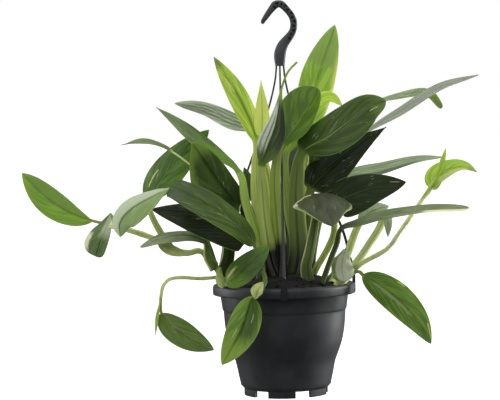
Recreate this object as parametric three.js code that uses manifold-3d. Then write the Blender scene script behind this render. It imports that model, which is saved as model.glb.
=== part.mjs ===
// Potted cobra philodendron in a hanging pot.
// Millimetres, +Z up. The origin is the saddle of the hook, the point that hangs on a support.
// Shapes are worked out in the pot's frame (origin on the floor under the pot's axis), and the
// whole group is then lowered by the saddle's height.

import * as THREE from 'three';
import { mergeVertices } from 'three/addons/utils/BufferGeometryUtils.js';
import Module from 'manifold-3d';

const wasm = await Module();
wasm.setup();

// Driving dimensions of the pot
const ROUND_SIDES = 32;
const RIM_R = 78;
const RIM_TOP_Z = 121;
const RIM_BAND_H = 11;
const RIM_EDGE = 1.5;
const NECK_R = 70;
const WALL = 1.6;
const SHOULDER = { r: 66.6, z: 92, stepR: 67.9, stepZ: 94.5 };
const WAIST = [{ r: 64.8, z: 71 }, { r: 62.3, z: 58 }, { r: 58.2, z: 46 }, { r: 54.8, z: 37 }];
const HEEL = { r: 49.2, z: 10.7 };
const FOOT_R = 45.9;
const FOOT_WALL = 4.4;
const FOOT_H = 7.5;
const BASE_T = 2;
const NOTCH_COUNT = 6;
const NOTCH_DEG = 22;
const FIRST_NOTCH_DEG = -67;
const DRAIN_HOLES = 6;
const DRAIN_R = 4;
const DRAIN_RING_R = 30;

// Driving dimensions of the soil
const SOIL_EDGE_Z = 114;
const SOIL_DOME_H = 20;
const SOIL_DOME_STEPS = 5;
const GAP = 0.3;
const HOLE_CLEARANCE = 0.45;

// Driving dimensions of the hanger
const SADDLE_Z = 421.5;
const HOOK_DEPTH = 6.4;
const HOOK_CHAMFER = 0.9;
const HUB_DEPTH = 11;
const HUB_CHAMFER = 1.4;
const HUB_BOTTOM_Z = 358.5;
const HUB_FIRST = 17;
const HUB_LAST = 25;
const POCKET_COUNT = 13;
const POCKET_DEPTH = 1.8;
const POCKET_HALF = 2.2;
const POCKET_REACH = 0.68;
const STRAND_R = 1.25;
const STRAND_SIDES = 6;
const STRAND_STEPS = 16;
const STRANDS = [
  { name: 'strand_front', deg: -91, bow: 0 },
  { name: 'strand_right', deg: 13, bow: 0 },
  { name: 'strand_left', deg: 154, bow: 3.6 },
];
const CLIP_W = 6.9;
const CLIP_T = 1.7;
const CLIP_BOTTOM_Z = 108;
const CLIP_TOP_Z = 133;
const CLIP_LIP = 4.6;
const CLIP_EASE = 1;

// Driving dimensions of the foliage
const BLADE_T = 0.8;
const STEM_R = 5.5;
const STEM_TOP_SHARE = 0.8;
const STEM_SIDES = 8;
const STEM_SINK = 22;
const STEM_RISE = 7;
const SHOOT_SIDES = 6;

// Where the picture was taken from, in the pot's frame: a point of the 500 x 400 picture and a
// depth give a point of the plant.
const EYE = new THREE.Vector3(-35.4, -2300, 310);
const EYE_PITCH = 0.0423;
const EYE_ROLL = 0.0201;
const EYE_FOCAL = 2110;
const PICTURE = { w: 500, h: 400 };

function fromPicture([u, v, depthY]) {
  const a = (u - PICTURE.w / 2) / EYE_FOCAL;
  const b = (PICTURE.h / 2 - v) / EYE_FOCAL;
  const x = a * Math.cos(EYE_ROLL) + b * Math.sin(EYE_ROLL);
  const y = b * Math.cos(EYE_ROLL) - a * Math.sin(EYE_ROLL);
  const forward = Math.cos(EYE_PITCH) + y * Math.sin(EYE_PITCH);
  const up = y * Math.cos(EYE_PITCH) - Math.sin(EYE_PITCH);
  const far = (depthY - EYE.y) / forward;
  return new THREE.Vector3(EYE.x + x * far, depthY, EYE.z + up * far);
}

const rad = THREE.MathUtils.degToRad;

function onCircle(r, deg, z) {
  return new THREE.Vector3(r * Math.cos(rad(deg)), r * Math.sin(rad(deg)), z);
}

// Solids and their joins

function toSolid(geometry) {
  const bare = geometry.index ? geometry.toNonIndexed() : geometry.clone();
  bare.deleteAttribute('normal');
  bare.deleteAttribute('uv');
  const merged = mergeVertices(bare, 1e-4);
  return new wasm.Manifold(new wasm.Mesh({
    numProp: 3,
    vertProperties: new Float32Array(merged.attributes.position.array),
    triVerts: new Uint32Array(merged.index.array),
  }));
}

function toGeometry(solid) {
  const mesh = solid.getMesh();
  const geometry = new THREE.BufferGeometry();
  geometry.setAttribute('position', new THREE.BufferAttribute(mesh.vertProperties, 3));
  geometry.setIndex(new THREE.BufferAttribute(mesh.triVerts, 1));
  geometry.computeVertexNormals();
  return geometry;
}

function turnedProfile(points) {
  const profile = points.map(([r, z]) => new THREE.Vector2(r, z));
  const geometry = new THREE.LatheGeometry(profile, ROUND_SIDES);
  geometry.rotateX(Math.PI / 2);
  return geometry;
}

function tube(points, radius, sides, steps) {
  const section = new THREE.Shape();
  for (let i = 0; i < sides; i++) {
    const a = (2 * Math.PI * i) / sides;
    if (i === 0) section.moveTo(radius * Math.cos(a), radius * Math.sin(a));
    else section.lineTo(radius * Math.cos(a), radius * Math.sin(a));
  }
  const path = new THREE.CatmullRomCurve3(points, false, 'centripetal');
  return new THREE.ExtrudeGeometry(section, { steps, extrudePath: path, curveSegments: 1 });
}

// Pot: a turned cup with a banded rim, notched feet and drain holes

function wallInside(r) {
  return r - WALL;
}

function makePot() {
  const bandInsideR = RIM_R - WALL;
  const bandTopZ = RIM_TOP_Z - WALL;
  const bandBottomZ = RIM_TOP_Z - RIM_BAND_H;
  const profile = [
    [FOOT_R - FOOT_WALL, 0],
    [FOOT_R, 0],
    [FOOT_R, FOOT_H],
    [HEEL.r, HEEL.z],
    ...WAIST.slice().reverse().map((p) => [p.r, p.z]),
    [SHOULDER.r, SHOULDER.z],
    [SHOULDER.stepR, SHOULDER.stepZ],
    [NECK_R, bandBottomZ],
    [NECK_R + GAP, bandTopZ],
    [bandInsideR, bandTopZ],
    [bandInsideR, bandBottomZ],
    [RIM_R - RIM_EDGE * 0.5, bandBottomZ],
    [RIM_R, bandBottomZ + RIM_EDGE],
    [RIM_R, RIM_TOP_Z - RIM_EDGE * 2],
    [RIM_R - RIM_EDGE * 0.6, RIM_TOP_Z - RIM_EDGE * 0.6],
    [RIM_R - RIM_EDGE * 2, RIM_TOP_Z],
    [NECK_R, RIM_TOP_Z],
    [wallInside(NECK_R), bandBottomZ],
    [wallInside(SHOULDER.stepR), SHOULDER.stepZ],
    ...WAIST.map((p) => [wallInside(p.r), p.z]),
    [wallInside(HEEL.r), HEEL.z],
    [FOOT_R - FOOT_WALL, FOOT_H + BASE_T],
    [0, FOOT_H + BASE_T],
    [0, FOOT_H],
    [FOOT_R - FOOT_WALL, FOOT_H],
  ];
  let pot = toSolid(turnedProfile([...profile, profile[0]]));

  const notchW = 2 * FOOT_R * Math.sin(rad(NOTCH_DEG / 2));
  for (let i = 0; i < NOTCH_COUNT; i++) {
    const deg = FIRST_NOTCH_DEG + (360 / NOTCH_COUNT) * i;
    const notch = new THREE.BoxGeometry(FOOT_WALL * 3, notchW, FOOT_H * 2 - GAP * 2);
    notch.translate(FOOT_R - FOOT_WALL / 2, 0, 0);
    notch.rotateZ(rad(deg));
    pot = pot.subtract(toSolid(notch));
  }
  for (let i = 0; i < DRAIN_HOLES; i++) {
    const hole = new THREE.CylinderGeometry(DRAIN_R, DRAIN_R, BASE_T * 4, STEM_SIDES);
    hole.rotateX(Math.PI / 2);
    hole.translate(DRAIN_RING_R, 0, FOOT_H);
    hole.rotateZ(rad((360 / DRAIN_HOLES) * i));
    pot = pot.subtract(toSolid(hole));
  }
  return toGeometry(pot);
}

// Soil: fills the pot from the base plate up to a dome, with a plain hole for each stem

function soilTop(x, y) {
  const edge = wallInside(NECK_R) - GAP;
  const k = Math.min(1, Math.hypot(x, y) / edge);
  return SOIL_EDGE_Z + SOIL_DOME_H * (1 - k * k);
}

function makeSoil(plants) {
  const edgeR = wallInside(NECK_R) - GAP;
  const floorZ = FOOT_H + BASE_T + GAP;
  const side = (p) => [wallInside(p.r) - GAP, p.z];
  const profile = [
    [0, floorZ],
    [FOOT_R - FOOT_WALL, floorZ],
    [wallInside(HEEL.r) - GAP, HEEL.z + GAP],
    ...WAIST.slice().reverse().map(side),
    [wallInside(SHOULDER.stepR) - GAP, SHOULDER.stepZ],
    [edgeR, RIM_TOP_Z - RIM_BAND_H],
  ];
  for (let i = 0; i <= SOIL_DOME_STEPS; i++) {
    const r = edgeR * (1 - i / SOIL_DOME_STEPS);
    profile.push([r, soilTop(r, 0)]);
  }
  let soil = toSolid(turnedProfile(profile));
  for (const plant of plants) {
    const [x, y] = plant.spot;
    const r = STEM_R + HOLE_CLEARANCE;
    const low = soilTop(x, y) - STEM_SINK - GAP;
    const high = RIM_TOP_Z + SOIL_DOME_H * 2;
    const hole = new THREE.CylinderGeometry(r, r, high - low, STEM_SIDES);
    hole.rotateX(Math.PI / 2);
    hole.translate(x, y, (high + low) / 2);
    soil = soil.subtract(toSolid(hole));
  }
  return toGeometry(soil);
}

// Hook: an angular moulded arm with a zigzag of pockets on both faces, which swells into a hub.
// Its outline runs from the tip over the outside to the hub and back along the inside.

const hookOutline = [
  [260.8, 21, 0], [262.9, 16.6, 0], [265.3, 12.4, 0], [269, 6.8, 0], [272.4, 1.9, 0], [274.5, 0.6, 0],
  [278, 0.2, 0], [281.8, 0.6, 0], [284.8, 2.4, 0], [290, 8.3, 0], [294.5, 14.4, 0], [296.3, 18, 0],
  [297.2, 24, 0], [297, 28.4, 0], [295.9, 32.5, 0], [293, 38.2, 0], [290, 42.8, 0], [287.6, 47.2, 0],
  [286.3, 51.5, 0], [285.5, 57, 0], [284.8, 66, 0], [275.2, 66, 0], [274.2, 60, 0], [273.9, 55.5, 0],
  [274.6, 50.5, 0], [276.3, 46, 0], [279, 41.5, 0], [283.3, 36.8, 0], [287.4, 32.6, 0], [289.5, 29, 0],
  [290.2, 24.8, 0], [289.3, 18.9, 0], [286.3, 13.9, 0], [282.4, 9.8, 0], [278.75, 7.39, 0],
  [275.6, 9.3, 0], [272, 13.5, 0], [265.3, 21.8, 0], [264.1, 23.5, 0], [262.4, 24.2, 0], [261, 23.1, 0],
];
const hookSpine = [
  [266, 17, 0], [272.5, 7.5, 0], [278.4, 3.6, 0], [284, 6, 0], [289.6, 13, 0], [293.2, 20.5, 0],
  [293.2, 28.5, 0], [289.5, 35.5, 0], [284, 42, 0],
];

function chamferedPrism(corners, depth, chamfer) {
  const shape = new THREE.Shape(corners.map((c) => new THREE.Vector2(c.x, c.z)));
  const geometry = new THREE.ExtrudeGeometry(shape, {
    depth: depth - chamfer * 2, bevelThickness: chamfer, bevelSize: chamfer, bevelOffset: -chamfer, bevelSegments: 1,
  });
  geometry.rotateX(Math.PI / 2);
  geometry.translate(0, depth / 2 - chamfer, 0);
  return geometry;
}

function flatPrism(corners, depth) {
  const shape = new THREE.Shape(corners.map((c) => new THREE.Vector2(c.x, c.z)));
  const geometry = new THREE.ExtrudeGeometry(shape, { depth, bevelEnabled: false });
  geometry.rotateX(Math.PI / 2);
  return geometry;
}

function makeHook() {
  const outline = hookOutline.map(fromPicture);
  for (const corner of outline) corner.z = Math.max(corner.z, HUB_BOTTOM_Z);
  const hubOutline = outline.slice(HUB_FIRST, HUB_LAST + 1);
  const arm = toSolid(chamferedPrism(outline, HOOK_DEPTH, HOOK_CHAMFER));
  const hub = toSolid(chamferedPrism(hubOutline, HUB_DEPTH, HUB_CHAMFER));
  let hook = arm.add(hub);

  const spine = new THREE.CatmullRomCurve3(hookSpine.map(fromPicture), false, 'centripetal');
  const at = (t, offset) => {
    const p = spine.getPointAt(t);
    const d = spine.getTangentAt(t);
    return p.add(new THREE.Vector3(-d.z, 0, d.x).multiplyScalar(offset));
  };
  const pitch = 1 / POCKET_COUNT;
  const cutDepth = POCKET_DEPTH * 2;
  for (let i = 0; i < POCKET_COUNT; i++) {
    const middle = pitch * (i + 0.5);
    const point = i % 2 === 0 ? 1 : -1;
    const first = Math.max(0, middle - pitch * POCKET_REACH);
    const last = Math.min(1, middle + pitch * POCKET_REACH);
    const corners = [
      at(first, -point * POCKET_HALF), at(last, -point * POCKET_HALF), at(middle, point * POCKET_HALF),
    ];
    for (const face of [1, -1]) {
      const pocket = flatPrism(corners, cutDepth);
      pocket.translate(0, cutDepth / 2 + face * HOOK_DEPTH / 2, 0);
      hook = hook.subtract(toSolid(pocket));
    }
  }
  return toGeometry(hook);
}

// Strand: a thin rod bowed from the hub to the rim, with a clip that grips under the rim's band

const strandRun = [
  { r: 4.1, z: HUB_BOTTOM_Z - GAP, bow: 0 }, { r: 5.8, z: 342, bow: 0.1 }, { r: 13.3, z: 311, bow: 0.45 },
  { r: 34.4, z: 253, bow: 1 }, { r: 68.5, z: 174, bow: 0.4 }, { r: 75, z: 147, bow: 0.1 },
  { r: RIM_R + CLIP_T, z: CLIP_TOP_Z - 1.5, bow: 0 },
];

function makeStrand({ deg, bow }) {
  const run = strandRun.map((p) => onCircle(p.r + p.bow * bow, deg, p.z));
  const rod = toSolid(tube(run, STRAND_R, STRAND_SIDES, STRAND_STEPS));
  const inner = RIM_R + GAP;
  const outer = inner + CLIP_T;
  const lipTopZ = RIM_TOP_Z - RIM_BAND_H - GAP;
  const outline = new THREE.Shape([
    new THREE.Vector2(inner, CLIP_TOP_Z - CLIP_EASE),
    new THREE.Vector2(inner, lipTopZ),
    new THREE.Vector2(inner - CLIP_LIP, lipTopZ),
    new THREE.Vector2(inner - CLIP_LIP, CLIP_BOTTOM_Z),
    new THREE.Vector2(outer, CLIP_BOTTOM_Z),
    new THREE.Vector2(outer, CLIP_TOP_Z),
    new THREE.Vector2(inner + CLIP_T / 2, CLIP_TOP_Z),
  ]);
  const clip = new THREE.ExtrudeGeometry(outline, { depth: CLIP_W, bevelEnabled: false });
  clip.rotateX(Math.PI / 2);
  clip.translate(0, CLIP_W / 2, 0);
  clip.rotateZ(rad(deg));
  const trimBox = new THREE.BoxGeometry(HUB_DEPTH * 2, HUB_DEPTH * 2, HUB_DEPTH);
  trimBox.translate(0, 0, HUB_BOTTOM_Z - GAP + HUB_DEPTH / 2);
  return toGeometry(rod.add(toSolid(clip)).subtract(toSolid(trimBox)));
}

// Leaf: one closed body from the root of its stalk to the tip of its blade. Each section is a
// loop of ten points, five along the top face and five along the underside. fold lifts both
// halves about the rib and curl bends them on towards their edges, in degrees; wave is the
// height of the ripples along the edges; neck is half the width where stalk and blade meet.

const ACROSS = [-1, -0.5, 0, 0.5, 1];
const ROUND_DEG = [162, 126, 90, 54, 18];
const BLADE_CUTS = [0, 0.035, 0.12, 0.27, 0.45, 0.63, 0.8, 0.92, 1];
const STALK_STEP = 30;
const STALK_CUTS_MAX = 9;

// A leaf's width along its rib: rise rounds the base, fall draws out the tip, and the peak is 1.
function bladeOutline(f, { rise, fall }) {
  const peak = rise / (rise + fall);
  const top = Math.pow(peak, rise) * Math.pow(1 - peak, fall);
  return (Math.pow(f, rise) * Math.pow(1 - f, fall)) / top;
}

function stretch(curve, t0, t1, fractions) {
  const fine = 60;
  const lengths = [0];
  let last = curve.getPoint(t0);
  for (let i = 1; i <= fine; i++) {
    const next = curve.getPoint(t0 + ((t1 - t0) * i) / fine);
    lengths.push(lengths[i - 1] + next.distanceTo(last));
    last = next;
  }
  const total = lengths[fine];
  const stops = fractions.map((f) => {
    let i = 1;
    while (i < fine && lengths[i] < f * total) i++;
    const part = (f * total - lengths[i - 1]) / (lengths[i] - lengths[i - 1]);
    const t = t0 + ((t1 - t0) * (i - 1 + part)) / fine;
    return { f, p: curve.getPoint(t), d: curve.getTangent(t) };
  });
  return { total, stops };
}

function facing(d, reference, turnDeg) {
  const plain = reference.clone().addScaledVector(d, -reference.dot(d)).normalize();
  return plain.applyAxisAngle(d, rad(turnDeg));
}

function bladeLoop({ p, d, f }, normal, leaf) {
  const side = new THREE.Vector3().crossVectors(d, normal);
  const w = Math.max(leaf.half * bladeOutline(f, leaf), f < 0.5 ? leaf.neck : 0.5);
  const thick = Math.max(BLADE_T / 2, leaf.neck * 0.55 * (1 - f * 12));
  const top = [];
  const under = [];
  for (const a of ACROSS) {
    const m = Math.abs(a);
    const s = Math.sign(a);
    const bend = (x) => rad(leaf.fold + leaf.curl * x);
    const inner = m > 0 ? 0.5 : 0;
    const outer = m > 0.5 ? 0.5 : 0;
    const out = w * (inner * Math.cos(bend(0.25)) + outer * Math.cos(bend(0.75)));
    const lift = w * (inner * Math.sin(bend(0.25)) + outer * Math.sin(bend(0.75)));
    const wave = leaf.wave * m * m * Math.sin(leaf.waves * 2 * Math.PI * f + (s > 0 ? 1.3 : 0));
    const lean = bend(m);
    const centre = p.clone().addScaledVector(side, s * out).addScaledVector(normal, lift + wave);
    const local = m > 0
      ? normal.clone().multiplyScalar(Math.cos(lean)).addScaledVector(side, -s * Math.sin(lean))
      : normal.clone().divideScalar(Math.max(0.5, Math.cos(lean)));
    top.push(centre.clone().addScaledVector(local, thick));
    under.push(centre.clone().addScaledVector(local, -thick));
  }
  return [...top, ...under.reverse()];
}

function stalkLoop({ p, d }, normal, wide, thick) {
  const side = new THREE.Vector3().crossVectors(d, normal);
  const row = (flip) => ROUND_DEG.map((deg) => p.clone()
    .addScaledVector(side, wide * Math.cos(rad(deg)))
    .addScaledVector(normal, flip * thick * Math.sin(rad(deg))));
  return [...row(1), ...row(-1).reverse()];
}

function loftGeometry(loops) {
  const n = loops[0].length;
  const half = n / 2;
  const positions = loops.flat().flatMap((q) => [q.x, q.y, q.z]);
  const index = [];
  const quad = (a, b, c, e, flip) => {
    if (flip) index.push(a, b, e, b, c, e);
    else index.push(a, b, c, a, c, e);
  };
  for (let j = 0; j + 1 < loops.length; j++) {
    for (let i = 0; i < n; i++) {
      const k = (i + 1) % n;
      const onTop = i < half - 1;
      const column = onTop ? i : n - 2 - i;
      const leftHalf = column < (half - 1) / 2;
      const flip = onTop ? leftHalf : !leftHalf;
      quad(j * n + i, j * n + k, (j + 1) * n + k, (j + 1) * n + i, flip);
    }
  }
  const cap = (start, outward) => {
    for (let i = 0; i + 1 < half; i++) {
      const a = start + i;
      const b = start + i + 1;
      const c = start + n - 2 - i;
      const e = start + n - 1 - i;
      if (outward) index.push(a, b, c, a, c, e);
      else index.push(a, c, b, a, e, c);
    }
  };
  cap(0, false);
  cap((loops.length - 1) * n, true);
  const geometry = new THREE.BufferGeometry();
  geometry.setAttribute('position', new THREE.Float32BufferAttribute(positions, 3));
  geometry.setIndex(index);
  return geometry;
}

const TOWARDS_VIEW = [0, -1, 0];

function makeLeaf(crown, given) {
  const leaf = {
    fold: 8, curl: -14, turn: 0, tipTurn: null, wave: 0.8, waves: 1.5, neck: 1.9, stalkHalf: 3.2,
    rise: 0.55, fall: 0.8, reference: TOWARDS_VIEW, ...given,
  };
  const start = leaf.from ? fromPicture(leaf.from) : crown;
  const tipTurn = leaf.tipTurn === null ? leaf.turn : leaf.tipTurn;
  const points = [start, ...[...leaf.stalk, ...leaf.blade].map(fromPicture)];
  const curve = new THREE.CatmullRomCurve3(points, false, 'centripetal');
  const baseT = (leaf.stalk.length + 1) / (points.length - 1);
  const reference = new THREE.Vector3(...leaf.reference);

  const blade = stretch(curve, baseT, 1, BLADE_CUTS);
  const normals = blade.stops.map(({ d, f }) => {
    const turn = leaf.turn + (tipTurn - leaf.turn) * f;
    return facing(d, reference, turn);
  });

  const stalkLength = stretch(curve, 0, baseT, [1]).total;
  const count = Math.max(2, Math.min(STALK_CUTS_MAX, Math.round(stalkLength / STALK_STEP)));
  const cuts = Array.from({ length: count }, (_, i) => i / count);
  const stalk = stretch(curve, 0, baseT, cuts);
  let carried = normals[0];
  const stalkLoops = stalk.stops.slice().reverse().map((stop) => {
    carried = carried.clone().addScaledVector(stop.d, -carried.dot(stop.d)).normalize();
    const wide = leaf.neck + (leaf.stalkHalf - leaf.neck) * Math.pow(1 - stop.f, 0.8);
    return stalkLoop(stop, carried, wide, Math.max(leaf.neck * 0.8, wide * 0.6));
  });
  const bladeLoops = blade.stops.map((stop, i) => bladeLoop(stop, normals[i], leaf));
  return toSolid(loftGeometry([...stalkLoops.reverse(), ...bladeLoops]));
}

// The leafy stems. Stalk and blade points are [picture u, picture v, depth in mm]; half is half the
// blade's greatest width, turn is how far its upper face turns away from the viewer about its rib.

const LEAF_DARK = 0x3f6128;
const LEAF_MID = 0x587f2c;
const LEAF_LIME = 0x9dbb3e;

const plants = [
  {
    name: 'leafy_stem_left_rim',
    spot: [-51, -23],
    color: LEAF_MID,
    shoots: [
      { path: [[222, 279, -33], [219, 270, -35]], r: 4 },
      {
        path: [[219, 272, -35], [210, 261, -38], [200, 251, -42], [187, 253, -46],
          [171, 248, -49], [156, 239.5, -48], [127, 229.5, -44], [110, 225.5, -41]],
        r: 2.8,
      },
      {
        path: [[220, 277, -36], [200, 278.5, -42], [180, 277.5, -50], [169, 279.5, -52],
          [163, 286, -53], [160.5, 299, -53]],
        r: 1.8,
      },
    ],
    leaves: [
      {
        from: [114, 226.5, -41], stalk: [[102, 223, -38]],
        blade: [[93, 221, -36], [72, 214, -30], [46, 198, -20], [22, 173, -12]],
        half: 15.5, turn: 12, stalkHalf: 2, neck: 1.5,
      },
      {
        from: [114, 226.5, -41], stalk: [[112, 220, -40]],
        blade: [[111, 214, -38], [106, 227, -42], [97, 242, -45], [93, 257, -42]],
        half: 14, turn: 26, fold: 14, curl: -20, rise: 0.8, fall: 0.45, stalkHalf: 2, neck: 1.4,
      },
      {
        from: [171, 248, -49], stalk: [[162, 235, -50], [150, 211, -46]],
        blade: [[150, 203, -42], [160, 182, -18], [180, 158, 4], [209, 130, 28]],
        half: 18, turn: -12, stalkHalf: 2.8,
      },
      {
        from: [214, 267, -37], stalk: [[207, 256, -44]],
        blade: [[205, 242, -50], [190, 236, -54], [165, 238, -60], [140, 247, -62]],
        half: 12, turn: 68, fold: 6, stalkHalf: 3.2,
      },
      {
        from: [217, 268, -35], stalk: [[207, 240, -38], [190, 213, -42], [178, 198, -52]],
        blade: [[170, 190, -62], [148, 199, -72], [129, 211, -76], [120, 223, -74], [120, 237, -70]],
        half: 17, turn: 28, tipTurn: 5, curl: -26, stalkHalf: 3,
      },
      {
        from: [222, 276, -33], stalk: [[228, 258, -32], [229, 240, -30], [231, 220, -20]],
        blade: [[236, 207, -12], [219, 184, -16], [204, 160, -24], [195, 145, -34], [194, 152, -46]],
        half: 24, turn: 4, stalkHalf: 6, neck: 3.6,
      },
      {
        from: [222, 278, -35], stalk: [[223.5, 283, -45]],
        blade: [[227, 284, -52], [243, 270, -66], [270, 245, -66]],
        half: 13.5, turn: -6, stalkHalf: 2.6,
      },
      {
        from: [160.8, 296, -53], stalk: [[160.6, 306, -53]],
        blade: [[161.5, 313, -53], [169, 324, -54], [187, 337, -54], [214, 350, -52]],
        half: 14.5, turn: 4, stalkHalf: 1.7, neck: 1.4,
      },
      {
        from: [161, 294, -53], stalk: [[160.3, 300, -54]],
        blade: [[159.5, 305, -55], [157, 318, -57], [155.5, 335, -57]],
        half: 1.9, turn: 0, stalkHalf: 1.7, neck: 1.1,
      },
    ],
  },
  {
    name: 'leafy_stem_front_left',
    spot: [-26, -44],
    color: LEAF_DARK,
    shoots: [
      { path: [[263, 272, -66], [265, 282, -80], [261, 290, -87], [258, 294, -88]], r: 2.6 },
    ],
    leaves: [
      {
        stalk: [[263, 268, -52], [258, 256, -58]],
        blade: [[254, 245, -62], [240, 228, -76], [214, 209, -88], [190, 196, -90],
          [174, 189, -82], [171, 191, -70]],
        half: 18.5, turn: 40, stalkHalf: 3,
      },
      {
        stalk: [[263, 266, -50], [256, 250, -46]],
        blade: [[250, 238, -42], [222, 223, -54], [187, 214, -63], [151, 209, -66]],
        half: 17, turn: 42, curl: -20, stalkHalf: 3,
      },
      {
        from: [260, 291, -87], stalk: [[256.5, 294, -88]],
        blade: [[253, 297, -88], [243, 328, -86], [222, 365, -80]],
        half: 17, turn: -8, fold: 10, stalkHalf: 2.4,
      },
      {
        from: [259, 294, -87], stalk: [[257, 297, -89]],
        blade: [[256, 298, -91], [257, 291, -94], [263, 282, -91]],
        half: 8.5, turn: 0, fold: -12, curl: -50, stalkHalf: 2.4, neck: 1.6,
      },
    ],
  },
  {
    name: 'leafy_stem_left_centre',
    spot: [-25, -16],
    color: LEAF_MID,
    leaves: [
      {
        stalk: [[266, 258, -19], [258, 226, -28], [250, 200, -38]],
        blade: [[240, 175, -44], [222, 156, -46], [196, 136, -42], [156, 107, -32]],
        half: 17, turn: 58, stalkHalf: 4.5,
      },
      {
        stalk: [[262, 255, -8], [246, 225, 0], [216, 186, 0], [188, 163, -14]],
        blade: [[172, 152, -16], [150, 141.5, -14], [121, 145, -8]],
        half: 10, turn: 76, stalkHalf: 3, neck: 1.3,
      },
    ],
  },
  {
    name: 'leafy_stem_centre_left',
    spot: [-14, 8],
    color: LEAF_LIME,
    leaves: [
      {
        stalk: [[269, 262, 4], [266, 235, 2], [257, 200, -2], [254, 165, -4]],
        blade: [[254, 140, -5], [240, 105, -8], [214, 57, -4]],
        half: 13.5, turn: 10, stalkHalf: 7.5, neck: 3,
      },
      {
        stalk: [[270, 262, 8], [268, 220, 14], [262, 170, 16]],
        blade: [[255, 131, 16], [232, 119, 24], [206, 107, 32], [175, 103, 40]],
        half: 17, turn: 128, stalkHalf: 4.5,
      },
      {
        stalk: [[268, 255, 4], [262, 225, 0]],
        blade: [[254, 197, -2], [248, 182, -2], [243, 167, 0]],
        half: 7, turn: 10, stalkHalf: 3.5,
      },
      {
        stalk: [[271, 262, 2], [268, 215, -6], [265, 170, -8]],
        blade: [[262, 137, -9], [262, 112, -10], [261, 80, -9]],
        half: 8, turn: 0, stalkHalf: 4.5,
      },
    ],
  },
  {
    name: 'leafy_stem_centre',
    spot: [-6, -20],
    color: LEAF_DARK,
    leaves: [
      {
        stalk: [[273, 262, -22], [267, 225, -30], [264, 188, -32]],
        blade: [[263, 166, -33], [268, 138, -34], [275, 113, -32], [283, 84, -28], [297, 62, -26]],
        half: 16, turn: 66, tipTurn: 50, fold: 52, curl: 0, fall: 1.7, stalkHalf: 6, neck: 2.8,
      },
      {
        stalk: [[281, 255, -24], [278, 220, -35], [275, 185, -41], [277, 160, -41]],
        blade: [[282, 146, -39], [298, 122, -38], [322, 91, -38]],
        half: 25, turn: -34, fold: 20, curl: -6, rise: 0.5, fall: 0.6, stalkHalf: 6, neck: 2.8,
      },
    ],
  },
  {
    name: 'leafy_stem_centre_back',
    spot: [12, 16],
    color: LEAF_LIME,
    leaves: [
      {
        stalk: [[297, 250, 18], [302, 200, 20], [306, 160, 21]],
        blade: [[309, 128, 20], [317, 82, 22], [335, 25, 30]],
        half: 19.5, turn: 6, rise: 0.5, fall: 0.75, stalkHalf: 7, neck: 2.8,
      },
      {
        stalk: [[299, 250, 20], [312, 180, 28], [338, 125, 36]],
        blade: [[366, 106, 46], [398, 96, 52], [428, 93, 54], [442, 108, 52]],
        half: 12, turn: -74, tipTurn: -30, stalkHalf: 3.6,
      },
    ],
  },
  {
    name: 'leafy_stem_centre_right',
    spot: [12, -12],
    color: LEAF_MID,
    leaves: [
      {
        stalk: [[300, 255, -14], [299, 215, -20], [299, 180, -28]],
        blade: [[301, 157, -35], [328, 139, -40], [347, 122, -42], [367, 106, -40], [386, 101, -34]],
        half: 22, turn: -10, fold: 10, rise: 0.45, fall: 0.7, stalkHalf: 7, neck: 3.6,
      },
      {
        stalk: [[296, 250, -12], [289, 215, -16], [285.5, 178, -18]],
        blade: [[286, 154, -17], [300, 125, -15], [318, 102, -15], [330, 97, -15], [342, 105, -20]],
        half: 13, turn: -30, stalkHalf: 5.5, neck: 2.8,
      },
      {
        stalk: [[304, 250, -10], [308, 216, -13]],
        blade: [[311, 190, -14], [345, 156, -12], [386, 127, -6]],
        half: 21, turn: -20, rise: 0.5, stalkHalf: 6.5, neck: 3,
      },
    ],
  },
  {
    name: 'leafy_stem_right',
    spot: [31, 4],
    color: LEAF_DARK,
    leaves: [
      {
        stalk: [[318, 258, -6], [327, 238, -14]],
        blade: [[335, 208, -24], [368, 190, -30], [406, 182, -30]],
        half: 19, turn: -24, stalkHalf: 4.6, neck: 2.4,
      },
      {
        stalk: [[315, 250, 12], [325, 208, 24]],
        blade: [[342, 179, 28], [380, 168, 30], [420, 159, 32], [444, 157, 34]],
        half: 15, turn: -62, stalkHalf: 3.6,
      },
      {
        stalk: [[314, 248, 14], [324, 200, 28], [342, 160, 32]],
        blade: [[366, 133, 30], [400, 112, 26], [440, 87, 22], [478, 75, 22]],
        half: 13, turn: -78, stalkHalf: 3.6,
      },
    ],
  },
  {
    name: 'leafy_stem_right_front',
    spot: [26, -30],
    color: LEAF_DARK,
    leaves: [
      {
        stalk: [[311, 260, -30], [315, 228, -30]],
        blade: [[322, 206, -38], [323, 197, -62], [325, 205, -98], [333, 226, -120]],
        half: 34, turn: 0, reference: [0, 0, 1], fold: 4, curl: -34, fall: 0.7, stalkHalf: 7.5, neck: 3.6,
      },
      {
        stalk: [[322, 268, -34], [334, 246, -42]],
        blade: [[345, 226, -50], [372, 214, -58], [420, 209, -64], [469, 208, -66]],
        half: 15, turn: -64, stalkHalf: 4,
      },
    ],
  },
  {
    name: 'leafy_stem_right_inner',
    spot: [45, -4],
    color: LEAF_MID,
    leaves: [
      {
        stalk: [[338, 274, 2], [347, 255, 2]],
        blade: [[360, 223, 4], [373, 211, 6], [389, 206, 8]],
        half: 9, turn: -20, stalkHalf: 4.5, neck: 2.6,
      },
      {
        stalk: [[336, 268, -10], [342, 255, -18]],
        blade: [[344, 251, -22], [343, 265, -25], [336, 280, -24]],
        half: 12, turn: 14, curl: -20, stalkHalf: 3,
      },
    ],
  },
  {
    name: 'leafy_stem_right_rim',
    spot: [55, -16],
    color: LEAF_LIME,
    shoots: [
      { path: [[350, 275, -15], [354, 268, -16]], r: 4 },
      {
        path: [[353, 270, -16], [364, 262, -17], [388, 248, -20], [400, 232, -22], [414, 212, -22]],
        r: 2.8,
      },
    ],
    leaves: [
      {
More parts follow.
